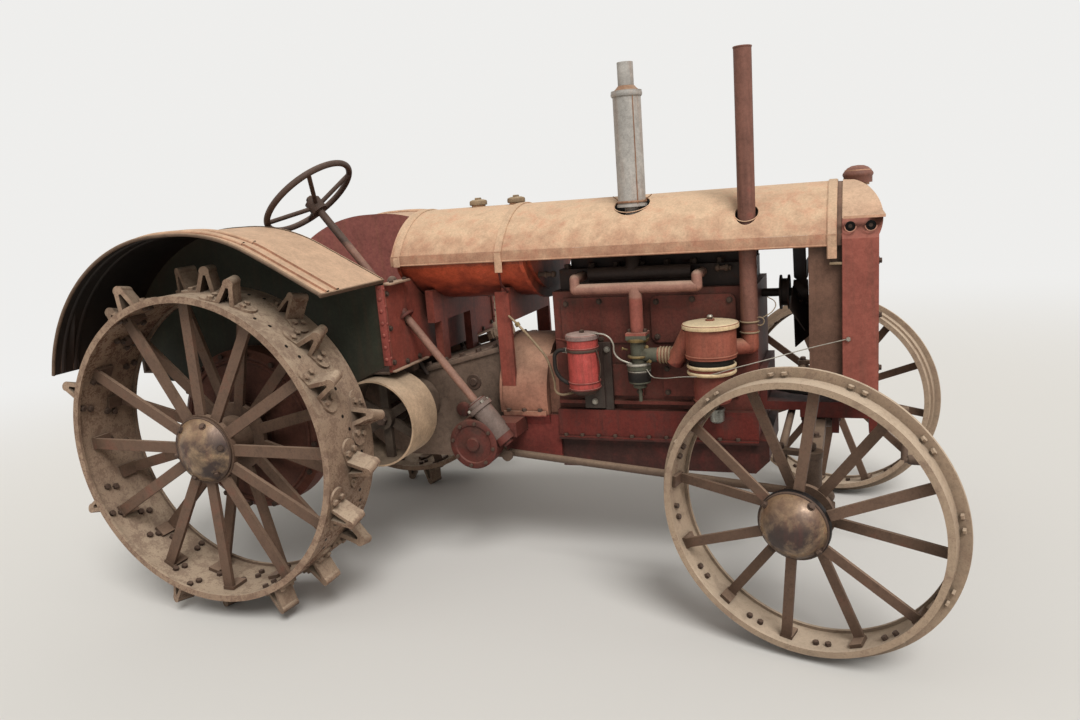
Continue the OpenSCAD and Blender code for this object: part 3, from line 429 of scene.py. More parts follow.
def bent(name, points, radius, material, body="chassis", soft=True, closed=False):
    """A rod, pipe or wire through points of the body, in millimetres."""
    data = bpy.data.curves.new(name, "CURVE")
    data.dimensions = "3D"
    data.bevel_depth = radius / 1000
    data.bevel_resolution = 3
    data.resolution_u = 8
    data.use_fill_caps = True
    line = data.splines.new("BEZIER")
    line.bezier_points.add(len(points) - 1)
    for knot, point in zip(line.bezier_points, points):
        knot.co = spot(*point)
        knot.handle_left_type = knot.handle_right_type = "AUTO" if soft else "VECTOR"
    line.use_cyclic_u = closed
    data.materials.append(material)
    piece = bpy.data.objects.new(name, data)
    bpy.context.scene.collection.objects.link(piece)
    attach(piece, body)
    return piece


def turns(count, start=0):
    """The angles of equal steps round a full turn, from a start in degrees."""
    return [radians(360 / count * step + start) for step in range(count)]


# Directions of the body: up, out on the right side, and ahead. The frames of the left wheels are
# mirrored, so that OUT leads away from the tractor there too.
UP, OUT, AHEAD = (0, 0, 1), (0, -1, 0), (1, 0, 0)
SIDES = (("right", -1), ("left", 1))
REAR_RIM_R, REAR_BAND, REAR_TRACK = 533.4, 12, 679
LUGS, LUG_TURN = 24, radians(15)
LUG_ROWS = ((0, 1), (-72, 1), (66, -1))
LUG_SKEW = radians(18)
rim_mud = finish(
    "rim_mud", 0x987C66, 0xBEA68C, 0x6C5040, 0x54372A, 0xC6B098, 0x2C211B, bump=0.7, fade=0.55, patchy=0.62,
    rusty=0.6, grimy=0.85, dusty=0.5, size=1.8)
front_mud = finish(
    "front_mud", 0xA48A72, 0xC6AE95, 0x785C4A, 0x583C2E, 0xD0BCA4, 0x2C221C, bump=0.6, fade=0.6, patchy=0.6,
    rusty=0.5, grimy=0.85, dusty=0.7, size=1.8, streaks=0.2)
spoke_iron = finish(
    "spoke_iron", 0x5C4437, 0x8C7260, 0x6C3C31, 0x422C23, 0xA08872, 0x261D19, bump=0.5, fade=0.5, patchy=0.45,
    rusty=0.45, grimy=0.8, size=1.6, streaks=0.2)
dark_nut = finish(
    "dark_nut", 0x46362E, 0x624E42, 0x54342A, 0x462E24, 0x806A5A, 0x161210, bump=0.4, rusty=0.4, grimy=0.6,
    dusty=0.35, size=2.0, streaks=0.0)
worn_cap = finish(
    "worn_cap", 0x36241F, 0x785A44, 0x9E8262, 0x68221E, 0x967E68, 0x140F0E, bump=0.12, metallic=0.25, shine=0.7,
    fade=0.55, patchy=0.6, rusty=0.35, dusty=0.12, size=1.1, gloss=0.3)
# Painted shade: a near-black finish for holes, gaps and recesses that lie in shade.
hole_shade = finish(
    "hole_shade", 0x181311, 0x181311, 0x100D0C, 0x1E1612, 0x28201B, 0x0A0908, bump=0.0, fade=0.0, rusty=0.1,
    grimy=0.6, dusty=0.1)
coat(rim_mud, "rear_rim_right", "rear_rim_left")
coat(front_mud, "front_rim_right", "front_rim_left")
coat(spoke_iron, "rear_hub_right", "rear_hub_left", "front_hub_right", "front_hub_left")
MIRROR = Matrix.Diagonal((1, -1, 1, 1))
for hand, side in SIDES:
    wheel = placed(0, side * REAR_TRACK, 0) @ (MIRROR if side > 0 else Matrix())
    body = "rear_wheel_" + hand
    lug_pads, lug_bolts, inner_nuts, holes = [], [], [], []
    for k in range(LUGS):
        turn = (k + 0.5) * LUG_TURN - NOSE_DOWN
        row, lean = LUG_ROWS[k % 3]
        on_rim = wheel @ Matrix.Rotation(turn, 4, "Y")
        lug = placed(0, row, REAR_RIM_R, lean * LUG_SKEW, "Z", on_rim)
        for end in (-1, 1):
            outward = heading(end * 0.087, 0, 0.996, lug)
            lug_pads.append((spot(end * 61, 0, -0.4, lug), outward))
            for across in (-17, 17):
                point = spot(end * 52.5, across, 3.6, lug)
                lug_bolts.append((point, outward))
                around = wheel.inverted() @ point
                radial = Vector((around.x, 0, around.z)).normalized()
                inside = radial * (REAR_RIM_R - REAR_BAND) / 1000 + Vector((0, around.y, 0))
                inner_nuts.append((wheel @ inside, heading(*-radial, wheel)))
        other = LUG_ROWS[(k + 1) % 3][0] if k % 2 else LUG_ROWS[(k + 2) % 3][0]
        for step in (-1, 1):
            holes.append((spot(step * 24, other + step * 9, REAR_RIM_R - 0.6, on_rim), heading(0, 0, 1, on_rim)))
    mesh = bmesh.new()
    for point, way in lug_pads:
        cone(mesh, 28, 33.5, 32.5, 8, standing(point, way, frame=None))
    made("lug_pads_" + hand, mesh, rim_mud, body, smooth=30)
    hex_heads("lug_bolts_" + hand, lug_bolts, 19, 10, rim_mud, body, washer=26, frame=None)
    hex_heads("rim_nuts_" + hand, inner_nuts, 19, 11, dark_nut, body, frame=None)
    # Painted shade: near-black discs in the rim's open bolt holes.
    mesh = bmesh.new()
    for point, way in holes:
        cone(mesh, 12, 5.8, 5.8, 2.2, standing(point, way, frame=None))
    made("rim_holes_" + hand, mesh, hole_shade, body)
    cap_bolts = [
        ((96 * sin(a), -106.5, 96 * cos(a)), (0.676 * sin(a), -0.737, 0.676 * cos(a))) for a in turns(6, 20)]
    hex_heads("rear_cap_bolts_" + hand, cap_bolts, 17, 8, dark_nut, body, washer=24, frame=wheel)
    dome("rear_cap_" + hand, 113, 56, (0, -88, 0), OUT, worn_cap, body, wheel)
    hoop(
        "rear_cap_ring_" + hand, 113.5, 3.6, (0, -86, 0), OUT, dark_nut, body, tall=4.5, steps=64,
        frame=wheel)

# Front wheels: a narrower rim with an angle-iron skid ring bolted round it, six spokes a side
# and a domed hub cap with four small ears. They stand turned to the right.
WHEELBASE, KING_Y, HUB_Z, STEER, CAMBER, KING_OFFSET = 1959, 583, -136.4, 15.4, 2.1, 80
FRONT_RIM_R = 387.35
SKID_MIDDLE = Vector((0, -16, 0))
for hand, side in SIDES:
    pin = placed(WHEELBASE, side * KING_Y, HUB_Z, radians(-STEER), "Z") @ (MIRROR if side > 0 else Matrix())
    wheel = placed(0, -KING_OFFSET, 0, frame=pin @ Matrix.Rotation(radians(CAMBER), 4, "X"))
    body = "front_wheel_" + hand
    ring_bolts, ring_nuts = [], []
    for k in range(12):
        for step in (-2.6, 2.6):
            turn = radians(k * 30 + 22.5 + step)
            way = Vector((sin(turn), 0, cos(turn)))
            ring_bolts.append((way * (FRONT_RIM_R + 8) + SKID_MIDDLE, way))
            ring_nuts.append((way * (FRONT_RIM_R - 9) + SKID_MIDDLE, -way))
    hex_heads("skid_bolts_" + hand, ring_bolts, 15, 7, front_mud, body, frame=wheel)
    hex_heads("skid_nuts_" + hand, ring_nuts, 15, 10, dark_nut, body, frame=wheel)
    dome("front_cap_" + hand, 92, 61, (0, -82, 0), OUT, worn_cap, body, wheel)
    # Painted shade: a near-black collar in the gap behind the hub cap.
    lathed(
        "front_collar_" + hand, [(88, -16), (96, -14), (98, -8), (98, 4), (93, 8), (88, 8)], (0, -74, 0), OUT,
        hole_shade, body, steps=56, closed=True, frame=wheel)
    hoop(
        "front_cap_ring_" + hand, 92, 4, (0, -79, 0), OUT, dark_nut, body, tall=6, steps=64,
        frame=wheel)
    ears = [((86 * sin(a), -92, 86 * cos(a)), (0.86 * sin(a), -0.51, 0.86 * cos(a))) for a in turns(4, 38)]
    hex_heads("front_cap_bolts_" + hand, ears, 15, 9, dark_nut, body, washer=22, frame=wheel)
    knuckle = "knuckle_" + hand
    lathed(
        "grease_cup_" + hand, [(0.01, 22), (9, 22), (12, 18), (12, 6), (7, 3), (7, 0), (0.01, 0)], (0, 0, 153), UP,
        dark_nut, knuckle, steps=20, frame=pin)
    lathed(
        "tie_nut_" + hand, [(0.01, 14), (10, 14), (13, 10), (13, 0), (0.01, 0)], (-90, 0, 151), UP, dark_nut,
        knuckle, steps=6, smooth=20, frame=pin)

# Driving case: one long iron casting from the rear axle to the clutch, with round bearing
# bosses, a flanged top cover and the two final drives. Oily grey-brown iron under dry dust.
case_iron = finish(
    "case_iron", 0x645247, 0x806C5D, 0x76483C, 0x523A2F, 0xA08A76, 0x201A17, bump=0.45, fade=0.35, patchy=0.35,
    rusty=0.25, grimy=0.8, streaks=0.35)
coat(case_iron, "transmission_case", "rear_axle_right", "rear_axle_left")
drive_brown = finish(
    "drive_brown", 0x704236, 0x885C4C, 0x5C302A, 0x462E26, 0x8E6E5C, 0x1C1412, bump=0.45, patchy=0.4, rusty=0.35,
    grimy=0.8, dusty=0.35, streaks=0.35)
coat(drive_brown, "axle_housings")
COVER_RISE, COVER_LONG = 85, 348
SLOPE = atan2(COVER_RISE, COVER_LONG)
cover_bolts = []
for x in range(560, 841, 70):
    for y in (-146, 146):
        cover_bolts.append(((x, y, 150 + (x - 520) * COVER_RISE / COVER_LONG), (-sin(SLOPE), 0, cos(SLOPE))))
hex_heads("case_cover_bolts", cover_bolts, 19, 11, dark_nut, washer=26)
sloping = placed(520, 0, 150, -SLOPE)
for hand, side in SIDES:
    block(
        "case_flange_" + hand, (0, 352), (165 * side - 9, 165 * side + 9), (-20, -2), 3, case_iron,
        frame=sloping)
PULLEY_X, PULLEY_Z = 507, 25
hex_heads(
    "pulley_boss_bolts", [((PULLEY_X + 76 * cos(a), -250, PULLEY_Z + 76 * sin(a)), OUT) for a in turns(6, 15)], 17,
    10, dark_nut)
lathed(
    "case_plug", [(0.01, 10), (12, 10), (15, 7), (16, 4), (27, 4), (30, 0)], (748, -165, 100), OUT, dark_nut)
dull_red = finish(
    "dull_red", 0x5E2621, 0x824A3E, 0x301F1C, 0x462C24, 0x8C6A5A, 0x1A1211, bump=0.35, patchy=0.6, rusty=0.3,
    grimy=0.8, dusty=0.3, size=1.5)
lathed("case_boss", [(0.01, 16), (20, 16), (26, 12), (28, 0)], (696, -165, -5), OUT, dull_red)
for hand, side in SIDES:
    rim_bolts = [((286 * sin(a), side * 535.5, 286 * cos(a)), (0, side, 0)) for a in turns(16, 8)]
    hex_heads("final_drive_bolts_" + hand, rim_bolts, 17, 9, dark_nut)
    hoop(
        "final_drive_ring_" + hand, 262, 7, (0, side * 532, 0), (0, side, 0), drive_brown, tall=9,
        steps=72)
pedal_iron = finish(
    "pedal_iron", 0x342C28, 0x564840, 0x5A382E, 0x54362A, 0x786456, 0x100E0D, bump=0.3, patchy=0.4, rusty=0.4,
    grimy=0.7, dusty=0.3, streaks=0.2)
for name, y in (("clutch_pedal", 190), ("brake_pedal", -190)):
    bent(name + "_arm", [(560, y * 0.9, 130), (520, y, 214), (470, y, 300)], 9, pedal_iron)
    block(name + "_pad", (-38, 38), (-42, 42), (-4, 5), 3, pedal_iron, frame=placed(463, y, 308, -0.9))

# Clutch housing: the round bell between the case and the engine, and the heavy lip on which its
# two halves meet. Dusty tan-pink paint above the lip, dark red below.
bell_paint = finish(
    "bell_paint", 0x9C6854, 0xB68A70, 0x7C4236, 0x56362C, 0xAC8C76, 0x221815, bump=0.25, fade=0.5, grimy=0.7,
    streaks=0.25)


def other_weather(tree, **values):
    """A second weathering in a material, like the first but for some values."""
    group = weathered(tree, values)
    for socket in group.inputs:
        if socket.name.lower() not in values:
            socket.default_value = tree.nodes["weathering"].inputs[socket.name].default_value
    return Signal(group.outputs["Color"])


def body_reach(tree, way, start):
    """How far, in metres, a point lies along a direction of the body past a start."""
    here = output(tree, "ShaderNodeTexCoord", which="Object")
    reach = output(tree, "ShaderNodeVectorMath", {0: here, 1: tuple(way)}, "Value", operation="DOT_PRODUCT")
    return reach - start.dot(way)


def recoloured(material, mask, colour):
    """Puts another colour over a material's own where a mask says so."""
    socket = material.node_tree.nodes["Principled BSDF"].inputs["Base Color"]
    mixed = blended(mask, Signal(socket.links[0].from_socket), colour)
    material.node_tree.links.new(mixed.socket, socket)


def two_tone(material, height, blur, **low_values):
    """Gives a finish other colours below a height over the rear axle, with a ragged edge."""
    tree = material.node_tree
    here = output(tree, "ShaderNodeTexCoord", which="Object")
    ragged = output(tree, "ShaderNodeTexNoise", {"Vector": here, "Scale": 18.0, "Detail": 3.0})
    lifted = body_reach(tree, BODY_UP, spot(0, 0, height)) + (ragged - 0.5) * (blur / 500)
    recoloured(material, ranged(lifted, blur / 2000, -blur / 2000), other_weather(tree, **low_values))


two_tone(bell_paint, -10, 6, base=0x702622, faded=0x844238, patch=0x502420, dusty=0.12)
coat(bell_paint, "clutch_housing")
hex_heads(
    "bell_lip_bolts", [((x, y, 5), UP) for x in (900, 960, 1020) for y in (-212, 212)], 15, 9, dark_nut)

# Engine: crankcase with its sump, the block with covers on both sides, and the head under the
# hood. Red paint over cast iron, soaked with oil low down and dusty on every ledge.
engine_red = finish(
    "engine_red", 0x6C2A24, 0x84483A, 0x341F1C, 0x3E2821, 0x8C6654, 0x100C0B, bump=0.35, fade=0.2, patchy=0.55,
    rusty=0.3, grimy=0.8, size=1.5, streaks=0.5)
sump_red = finish(
    "sump_red", 0x68221C, 0x78382E, 0x36201E, 0x3C2621, 0x845C4E, 0x120E0D, bump=0.35, fade=0.2, patchy=0.62,
    rusty=0.3, grimy=0.9, dusty=0.25, size=1.2, streaks=0.5)
two_tone(sump_red, -88, 5, base=0x321816, faded=0x3E221E, patch=0x54201D)
head_black = finish(
    "head_black", 0x2C221F, 0x4A3A32, 0x462621, 0x462E24, 0x685448, 0x0C0A0A, bump=0.35, fade=0.25, patchy=0.45,
    rusty=0.4, grimy=0.85, dusty=0.3)
coat(engine_red, "engine_block")
coat(sump_red, "crankcase", "front_bolster")
coat(head_black, "cylinder_head", "exhaust_manifold", "magneto")
hex_heads(
    "head_nuts", [((x, y, 500), UP) for x in range(1130, 1760, 88) for y in (-118, 118)], 21, 15, dark_nut,
    washer=28)
hex_heads(
    "sump_bolts", [((x, y, -84), UP) for x in range(1110, 1770, 60) for y in (-204, 204)], 13, 8, dark_nut)
HIGH_COVER = ((20, 20), (140, 14), (260, 20), (20, 138), (140, 144), (260, 138))
LOW_COVER = ((14, 14), (236, 14), (14, 96), (236, 96))
cover_bolts = []
for x0, z0, corners in (
    (1115, 246, HIGH_COVER), (1432, 246, HIGH_COVER), (1145, 60, LOW_COVER), (1465, 60, LOW_COVER)):
    for _, side in SIDES:
        cover_bolts += [((x0 + x, side * 181, z0 + z), (0, side, 0)) for x, z in corners]
hex_heads("side_cover_bolts", cover_bolts, 14, 8, dark_nut, washer=20)
black_rubber = finish(
    "black_rubber", 0x1C1A19, 0x3A342F, 0x282421, 0x3C3028, 0x605246, 0x0A0909, bump=0.15, fade=0.25, rusty=0.08,
    dusty=0.25, size=2.0, streaks=0.0)
porcelain = finish(
    "porcelain", 0xCEC4B2, 0xD6CEBE, 0xAA9C88, 0x82644C, 0xB4A28C, 0x46382E, bump=0.05, fade=0.2, rusty=0.1,
    grimy=0.6, dusty=0.2, size=3.0, gloss=0.2)
for number, x in enumerate((1180, 1320, 1460, 1600)):
    lathed(
        f"spark_plug_{number}",
        [(0.01, 0), (13, 0), (13, 12), (8, 13), (8, 38), (6, 46), (3, 48), (3, 54), (0.01, 54)], (x, 140, 462),
        (0, 0.94, 0.34), porcelain, steps=16)
    bent(
        f"plug_wire_{number}", [
            (x, 190, 480), (x - 10, 226, 470), (x * 0.6 + 520, 250, 380), (1310 + 12 * number, 246, 240),
            (1290 + 14 * number, 228, 184)], 3.5, black_rubber)
lathed("magneto_cap", [(0.01, 22), (24, 22), (30, 16), (32, 0)], (1310, 228, 166), UP, black_rubber)
bent(
    "top_hose", [(1752, 30, 545), (1775, 20, 610), (1840, 10, 652), (1960, 0, 662), (2040, 0, 662)], 27,
    black_rubber)
bent("bottom_hose", [(1772, -70, 100), (1830, -110, 92), (1930, -140, 84), (2040, -150, 80)], 24, black_rubber)
lump_pipe = finish(
    "lump_pipe", 0x604C40, 0x867060, 0x5A342D, 0x4E342A, 0x8C7664, 0x120F0E, bump=0.3, patchy=0.4, rusty=0.3,
    grimy=0.8, dusty=0.35, size=2.5)
for number, (x0, x1, z) in enumerate(((1002, 1092, 486), (1280, 1456, 488), (1655, 1697, 484))):
    bent(f"head_pipe_{number}", [(x0, -154, z), ((x0 + x1) / 2, -156, z + 2), (x1, -154, z)], 8, lump_pipe)
    rivets(
        f"head_pipe_lumps_{number}",
        [((x0 + step * 29, -155, z + 1), AHEAD) for step in range(int((x1 - x0) / 29) + 1)], 25, lump_pipe,
        flat=0.8)

# Manifolds and carburettor: two cast pipes along the block, the lower one tan with dust, and a
# down pipe with the updraught carburettor of brassy and grey castings over a black bowl.
manifold_dust = finish(
    "manifold_dust", 0x96685A, 0xB2907C, 0x80463C, 0x603E32, 0xB89884, 0x30221E, bump=0.25, fade=0.45, grimy=0.6,
    dusty=0.45, size=2.0, streaks=0.2)
two_tone(manifold_dust, 408, 10, base=0x8C3C32, faded=0xA05A4A)
coat(manifold_dust, "intake_manifold")
carb_green = finish(
    "carb_green", 0x4E5044, 0x6C6A5A, 0x3A362E, 0x5C422E, 0x8C806A, 0x141210, bump=0.3, patchy=0.4, rusty=0.25,
    grimy=0.8, dusty=0.3, size=3.0)
brass = finish(
    "brass", 0x806A42, 0xA08E68, 0x60543E, 0x56422A, 0x9E8E72, 0x221C16, metallic=0.5, patchy=0.4, grimy=0.7,
    dusty=0.25, size=3.0, gloss=0.15)
pale_metal = finish(
    "pale_metal", 0xA8A296, 0xBEB8AA, 0x827A6E, 0x785A42, 0xB0A28E, 0x322A24, bump=0.1, metallic=0.6, rusty=0.1,
    grimy=0.6, dusty=0.2, size=3.0, gloss=0.2)
coat(carb_green, "carburettor")
carb_x, carb_y = carb_at = (1397, -236)
lathed(
    "carb_flange_ring", [(27, 262), (36, 262), (38, 266), (38, 272), (30, 274), (27, 274)], (*carb_at, 0), UP,
    brass, closed=True)
for number, (low, high, radius) in enumerate(((208, 216, 37), (182, 190, 43.5), (160, 166, 39))):
    lathed(
        f"carb_band_{number}",
        [(20, low), (radius - 2, low), (radius, low + 2), (radius, high - 2), (radius - 2, high), (20, high)],
        (*carb_at, 0), UP, pale_metal if number else brass, closed=True)
lathed(
    "carb_bowl", [(0.01, 112), (18, 113), (31, 119), (38, 130), (39, 158), (37, 160), (20, 160)], (*carb_at, 0), UP,
    black_rubber)
hex_heads(
    "carb_flange_nuts", [((x, carb_y, 292), UP) for x in (carb_x - 26, carb_x + 26)], 14, 10, dark_nut)
for number, (dx, dy, dz) in enumerate(((-34, -14, 236), (30, -30, 246), (34, -24, 196))):
    lathed(
        f"carb_screw_{number}", [(0.01, 20), (5, 20), (6, 17), (3, 16), (3, 0)], (carb_x + dx, carb_y + dy, dz),
        (dx, dy - 10, 14), brass, steps=14)
bent(
    "fuel_line", [
        (1223, -250, 291), (1262, -262, 294), (1300, -266, 286), (1319, -266, 262), (1323, -266, 228),
        (1338, -264, 208), (1362, -262, 196), (1380, -262, 190)], 3.2, pale_metal)
bent(
    "choke_wire", [
        (1428, -262, 172), (1446, -268, 150), (1470, -285, 148), (1560, -330, 163), (1629, -342, 169),
        (1738, -345, 199), (1828, -322, 219), (1914, -300, 240), (2048, -290, 272)], 1.6, pale_metal)
hex_heads("choke_wire_bolt", [((2052, -286, 272), OUT)], 12, 8, pale_metal)
neck_dust = finish(
    "neck_dust", 0x8C765C, 0xAA9476, 0x785C46, 0x604632, 0xB29C80, 0x28201A, bump=0.3, fade=0.4, grimy=0.7,
    size=2.5)
for number in range(6):
    hoop(
        f"neck_rib_{number}", 25, 4, (1472 + number * 10.5, -236, 215), AHEAD, neck_dust, tall=4.2,
        steps=32)

# Oil filter: a red can on a dark bracket, with a grey lid, a wire clip round it, a black hose
# looping at its side, and the thin rods that run past it to the clutch.
filter_paint = finish(
    "filter_paint", 0xB4443F, 0xC87C72, 0x92544E, 0x5A322A, 0xAC8474, 0x2C1816, bump=0.1, patchy=0.4, rusty=0.18,
    grimy=0.7, dusty=0.25, size=2.6, streaks=0.5)
filter_at = (1208, -250)
tree = filter_paint.node_tree
here = output(tree, "ShaderNodeTexCoord", which="Object")
from_can = output(tree, "ShaderNodeVectorMath", {0: here, 1: tuple(spot(*filter_at, 0))}, operation="SUBTRACT")
from_axis = output(tree, "ShaderNodeVectorMath", {0: from_can, 1: tuple(BODY_UP)}, operation="CROSS_PRODUCT")
off_can = ranged(output(tree, "ShaderNodeVectorMath", {0: from_axis}, "Value", operation="LENGTH"), 0.0555, 0.0565)
under_can = ranged(body_reach(tree, BODY_UP, spot(0, 0, 102)), 0.001, -0.001)
bracket_grey = other_weather(
    tree, base=0x3A342F, faded=0x544840, patch=0x4A2C26, rust=0x422E26, dust=0x705E50, dusty=0.25)
recoloured(filter_paint, off_can.joined("MAXIMUM", off_can, under_can), bracket_grey)
coat(filter_paint, "oil_filter")
lid_grey = finish(
    "lid_grey", 0x806864, 0xA48C84, 0x6E504C, 0x604236, 0xB09A8A, 0x2E2421, bump=0.15, fade=0.5, size=2.5)
lathed(
    "filter_lid", [(0.01, 296), (40, 295), (54, 292), (57.5, 288), (57.5, 276), (53.5, 274)], (*filter_at, 0), UP,
    lid_grey, steps=48)
hex_heads("filter_lid_bolt", [((*filter_at, 295), UP)], 15, 9, dark_nut)
for number, (low, radius) in enumerate(((246, 54.2), (128, 54.2), (106, 54.4))):
    hoop(f"filter_bead_{number}", radius, 2.2, (*filter_at, low), UP, filter_paint, tall=3)
hoop("filter_clip", 55, 1.8, (*filter_at, 238), UP, dark_nut, tall=5)
bent("filter_clip_wire", [(1262, -270, 238), (1270, -262, 180), (1262, -260, 132)], 2.5, dark_nut)
lathed("filter_foot", [(0.01, 84), (34, 84), (50, 96), (53, 104)], (*filter_at, 0), UP, dark_nut)
bent(
    "filter_hose", [
        (1160, -252, 236), (1118, -262, 232), (1108, -262, 196), (1118, -262, 150), (1150, -258, 122),
        (1178, -252, 112)], 7, black_rubber)
lathed(
    "filter_hose_end", [(0.01, 16), (9, 16), (9, 4), (12, 3), (12, 0)], (1152, -252, 236), (-1, -0.1, 0),
    pale_metal, steps=6, smooth=20)
hex_heads("filter_bracket_bolts", [((1226, -205, 44), OUT), ((1276, -196, 226), OUT)], 16, 9, pale_metal, washer=22)
bent(
    "clutch_rod", [
        (930, -212, 352), (969, -235, 327), (1040, -236, 246), (1070, -235, 202), (1092, -235, 120),
        (1096, -235, 84), (1112, -232, 74), (1140, -226, 76), (1160, -206, 78)], 4.2, neck_dust)
bent("side_pipe", [(1094, -190, 262), (1130, -214, 262), (1160, -236, 260)], 4, dull_red)
lathed("rod_clip", [(0.01, 12), (9, 12), (9, 0), (0.01, 0)], (966, -232, 329), (0.6, -0.2, -0.8), brass, steps=8)

# Air cleaner: a lidded drum over an oil cup, held by two rings, fed by the tall stack through a
# clamped elbow; a slanting duct goes down to the carburettor. A small glass bowl hangs below.
cleaner_paint = finish(
    "cleaner_paint", 0x944C3C, 0xAC7058, 0x863A30, 0x5C382E, 0xB48A70, 0x221715, patchy=0.35, rusty=0.22,
    grimy=0.75, dusty=0.35, size=1.8, streaks=0.4)
two_tone(cleaner_paint, 193, 3, base=0x702A24, faded=0x844238, dusty=0.3)
coat(cleaner_paint, "air_cleaner")
stack_rust = finish(
    "stack_rust", 0x7A5246, 0x96685A, 0x8A3E34, 0x54362E, 0x9C7462, 0x261A18, bump=0.3, fade=0.2, patchy=0.4,
    rusty=0.35, dusty=0.2, size=1.3, streaks=0.6)
coat(stack_rust, "intake_stack")
cleaner_at = (1643, -272)
cream = finish(
    "cream", 0xCEB086, 0xDEC8A0, 0xBA8C68, 0x966446, 0xE0CCAC, 0x5A4230, bump=0.1, fade=0.6, patchy=0.25,
    rusty=0.12, grimy=0.4, size=2.0)
lathed(
    "cleaner_lid", [(0.01, 333), (30, 332.5), (70, 330), (86, 326.5), (89.5, 322), (89.5, 312), (86, 311)],
    (*cleaner_at, 0), UP, cream, steps=56)
lathed(
    "cleaner_knob", [(0.01, 352), (7, 351), (10, 346), (8, 340), (4, 336), (4, 330)], (*cleaner_at, 0), UP,
    pale_metal, steps=20)
for number, z in enumerate((190, 169)):
    hoop(f"cleaner_ring_{number}", 74, 4.5, (*cleaner_at, z), UP, cream, tall=6, steps=56)
hoop("cleaner_waist", 67, 1.5, (*cleaner_at, 204), UP, black_rubber, tall=10, steps=56)
hoop("cup_bead", 58.5, 2.5, (*cleaner_at, 78), UP, cleaner_paint, tall=3, steps=56)
hoop("cleaner_bead", 80.8, 2.2, (*cleaner_at, 226), UP, cleaner_paint, tall=3, steps=56)
stack_at = (1757, -210)
for number, z in enumerate((284, 318)):
    hoop(f"elbow_clamp_{number}", 29.5, 2.2, (*stack_at, z), UP, neck_dust, tall=3, steps=40)
bent("clamp_loop", [(1790 + 13 * cos(a), -216, 318 + 13 * sin(a)) for a in turns(8)], 2, neck_dust, closed=True)
bent("clamp_tail", [(1800, -214, 330), (1830, -200, 350), (1836, -190, 372), (1812, -190, 392)], 1.6, neck_dust)
clear_glass = finish(
    "clear_glass", 0x96968E, 0xB0B0A8, 0x6E6C62, 0x6E543C, 0xA09686, 0x28241E, bump=0.0, metallic=0.7, rusty=0.05,
    dusty=0.15, size=3.0, gloss=0.4)
lathed(
    "glass_bowl",
    [(0.01, -13), (14, -12), (22, -6), (24, 4), (24, 30), (27, 31), (27, 36), (18, 40), (8, 41), (8, 72)],
    (1649, -236, 0), UP, clear_glass, steps=36)

# Stacks: a galvanised muffler on its pipe, with a folded seam and rusted where it is hottest,
# and the plain rusty intake pipe.
galvanised = finish(
    "galvanised", 0xACA8A2, 0xBCB6AC, 0x9E9286, 0x92684E, 0xB6A694, 0x5A4638, bump=0.1, fade=0.25, patchy=0.4,
    rusty=0.14, grimy=0.4, dusty=0.2, streaks=0.35, gloss=0.12)
coat(galvanised, "muffler")
seam_rust = finish(
    "seam_rust", 0x92684E, 0xA47E62, 0xA89682, 0x6E4632, 0xAA9682, 0x463026, bump=0.3, fade=0.2, patchy=0.5,
    rusty=0.4, grimy=0.3, dusty=0.2, size=2.5)
muffler_at = Vector((1376, -130))
seam_turn = radians(-52)
seam_at = muffler_at + 46.3 * Vector((cos(seam_turn), sin(seam_turn)))
bent("muffler_seam", [(*seam_at, z) for z in (706, 880, 1062)], 1.8, seam_rust, soft=False)
hoop("muffler_collar", 48.5, 3, (*muffler_at, 1060), UP, galvanised, tall=8, steps=56)
hoop("muffler_foot", 46.5, 3.4, (*muffler_at, 716), UP, seam_rust, tall=4, steps=56)
lathed(
    "muffler_saddle", [(27, 1070), (46, 1068), (34, 1078), (27, 1086)], (*muffler_at, 0), UP, seam_rust,
    closed=True)
for number, turn in enumerate((2.7, -0.4)):
    away = Vector((cos(turn), sin(turn)))
    ends = [(*(muffler_at + away * 50), 716), (*(muffler_at + away * 82), 736)]
    bent(f"muffler_wire_{number}", ends, 1.6, seam_rust)
hoop("stack_lip", 27.2, 1.6, (*stack_at, 1147), UP, stack_rust, tall=2.5, steps=40)

# Fuel tank and hood: a long red-orange tank under a round sheet hood with three raised bands,
# whose ends hang below the skirt. The tan paint is chalky with dust on top.
tank_orange = finish(
    "tank_orange", 0xC6583A, 0xD87C58, 0xA04634, 0x603228, 0xBE886C, 0x301C18, bump=0.15, fade=0.35, patchy=0.35,
    grimy=0.75, dusty=0.25, streaks=0.45)
two_tone(tank_orange, 468, 90, base=0x7C362A, faded=0x8E4C3C, dusty=0.15)
coat(tank_orange, "fuel_tank")
hood_tan = finish(
    "hood_tan", 0xC09478, 0xDAB896, 0xBE8468, 0x965C46, 0xD6B89A, 0x5A3C2E, bump=0.07, fade=1.0, patchy=0.5,
    rusty=0.25, grimy=0.25, size=2.0, streaks=0.2)
strap_tan = finish(
    "strap_tan", 0xBA967A, 0xCEAC8C, 0xAA765C, 0x885440, 0xD4B89A, 0x50382C, bump=0.15, fade=1.25, patchy=0.4,
    size=2.0, streaks=0.2)
HOOD_AXIS, HOOD_R, SKIRT_Y = 410, 325, 279
two_tone(hood_tan, 620, 150, base=0x9C6E58, faded=0xB68A6E, patch=0x965C48, rust=0x784837, dust=0xC49E82)
two_tone(strap_tan, 600, 120, base=0xA67E66, faded=0xBE9478, patch=0x96604C)
tree = hood_tan.node_tree


def split(tree, kind, which):
    """The x, y and z of a vector that a new node gives."""
    parts = add(tree, "ShaderNodeSeparateXYZ", {0: output(tree, kind, which=which)}).outputs
    return [Signal(part) for part in parts]
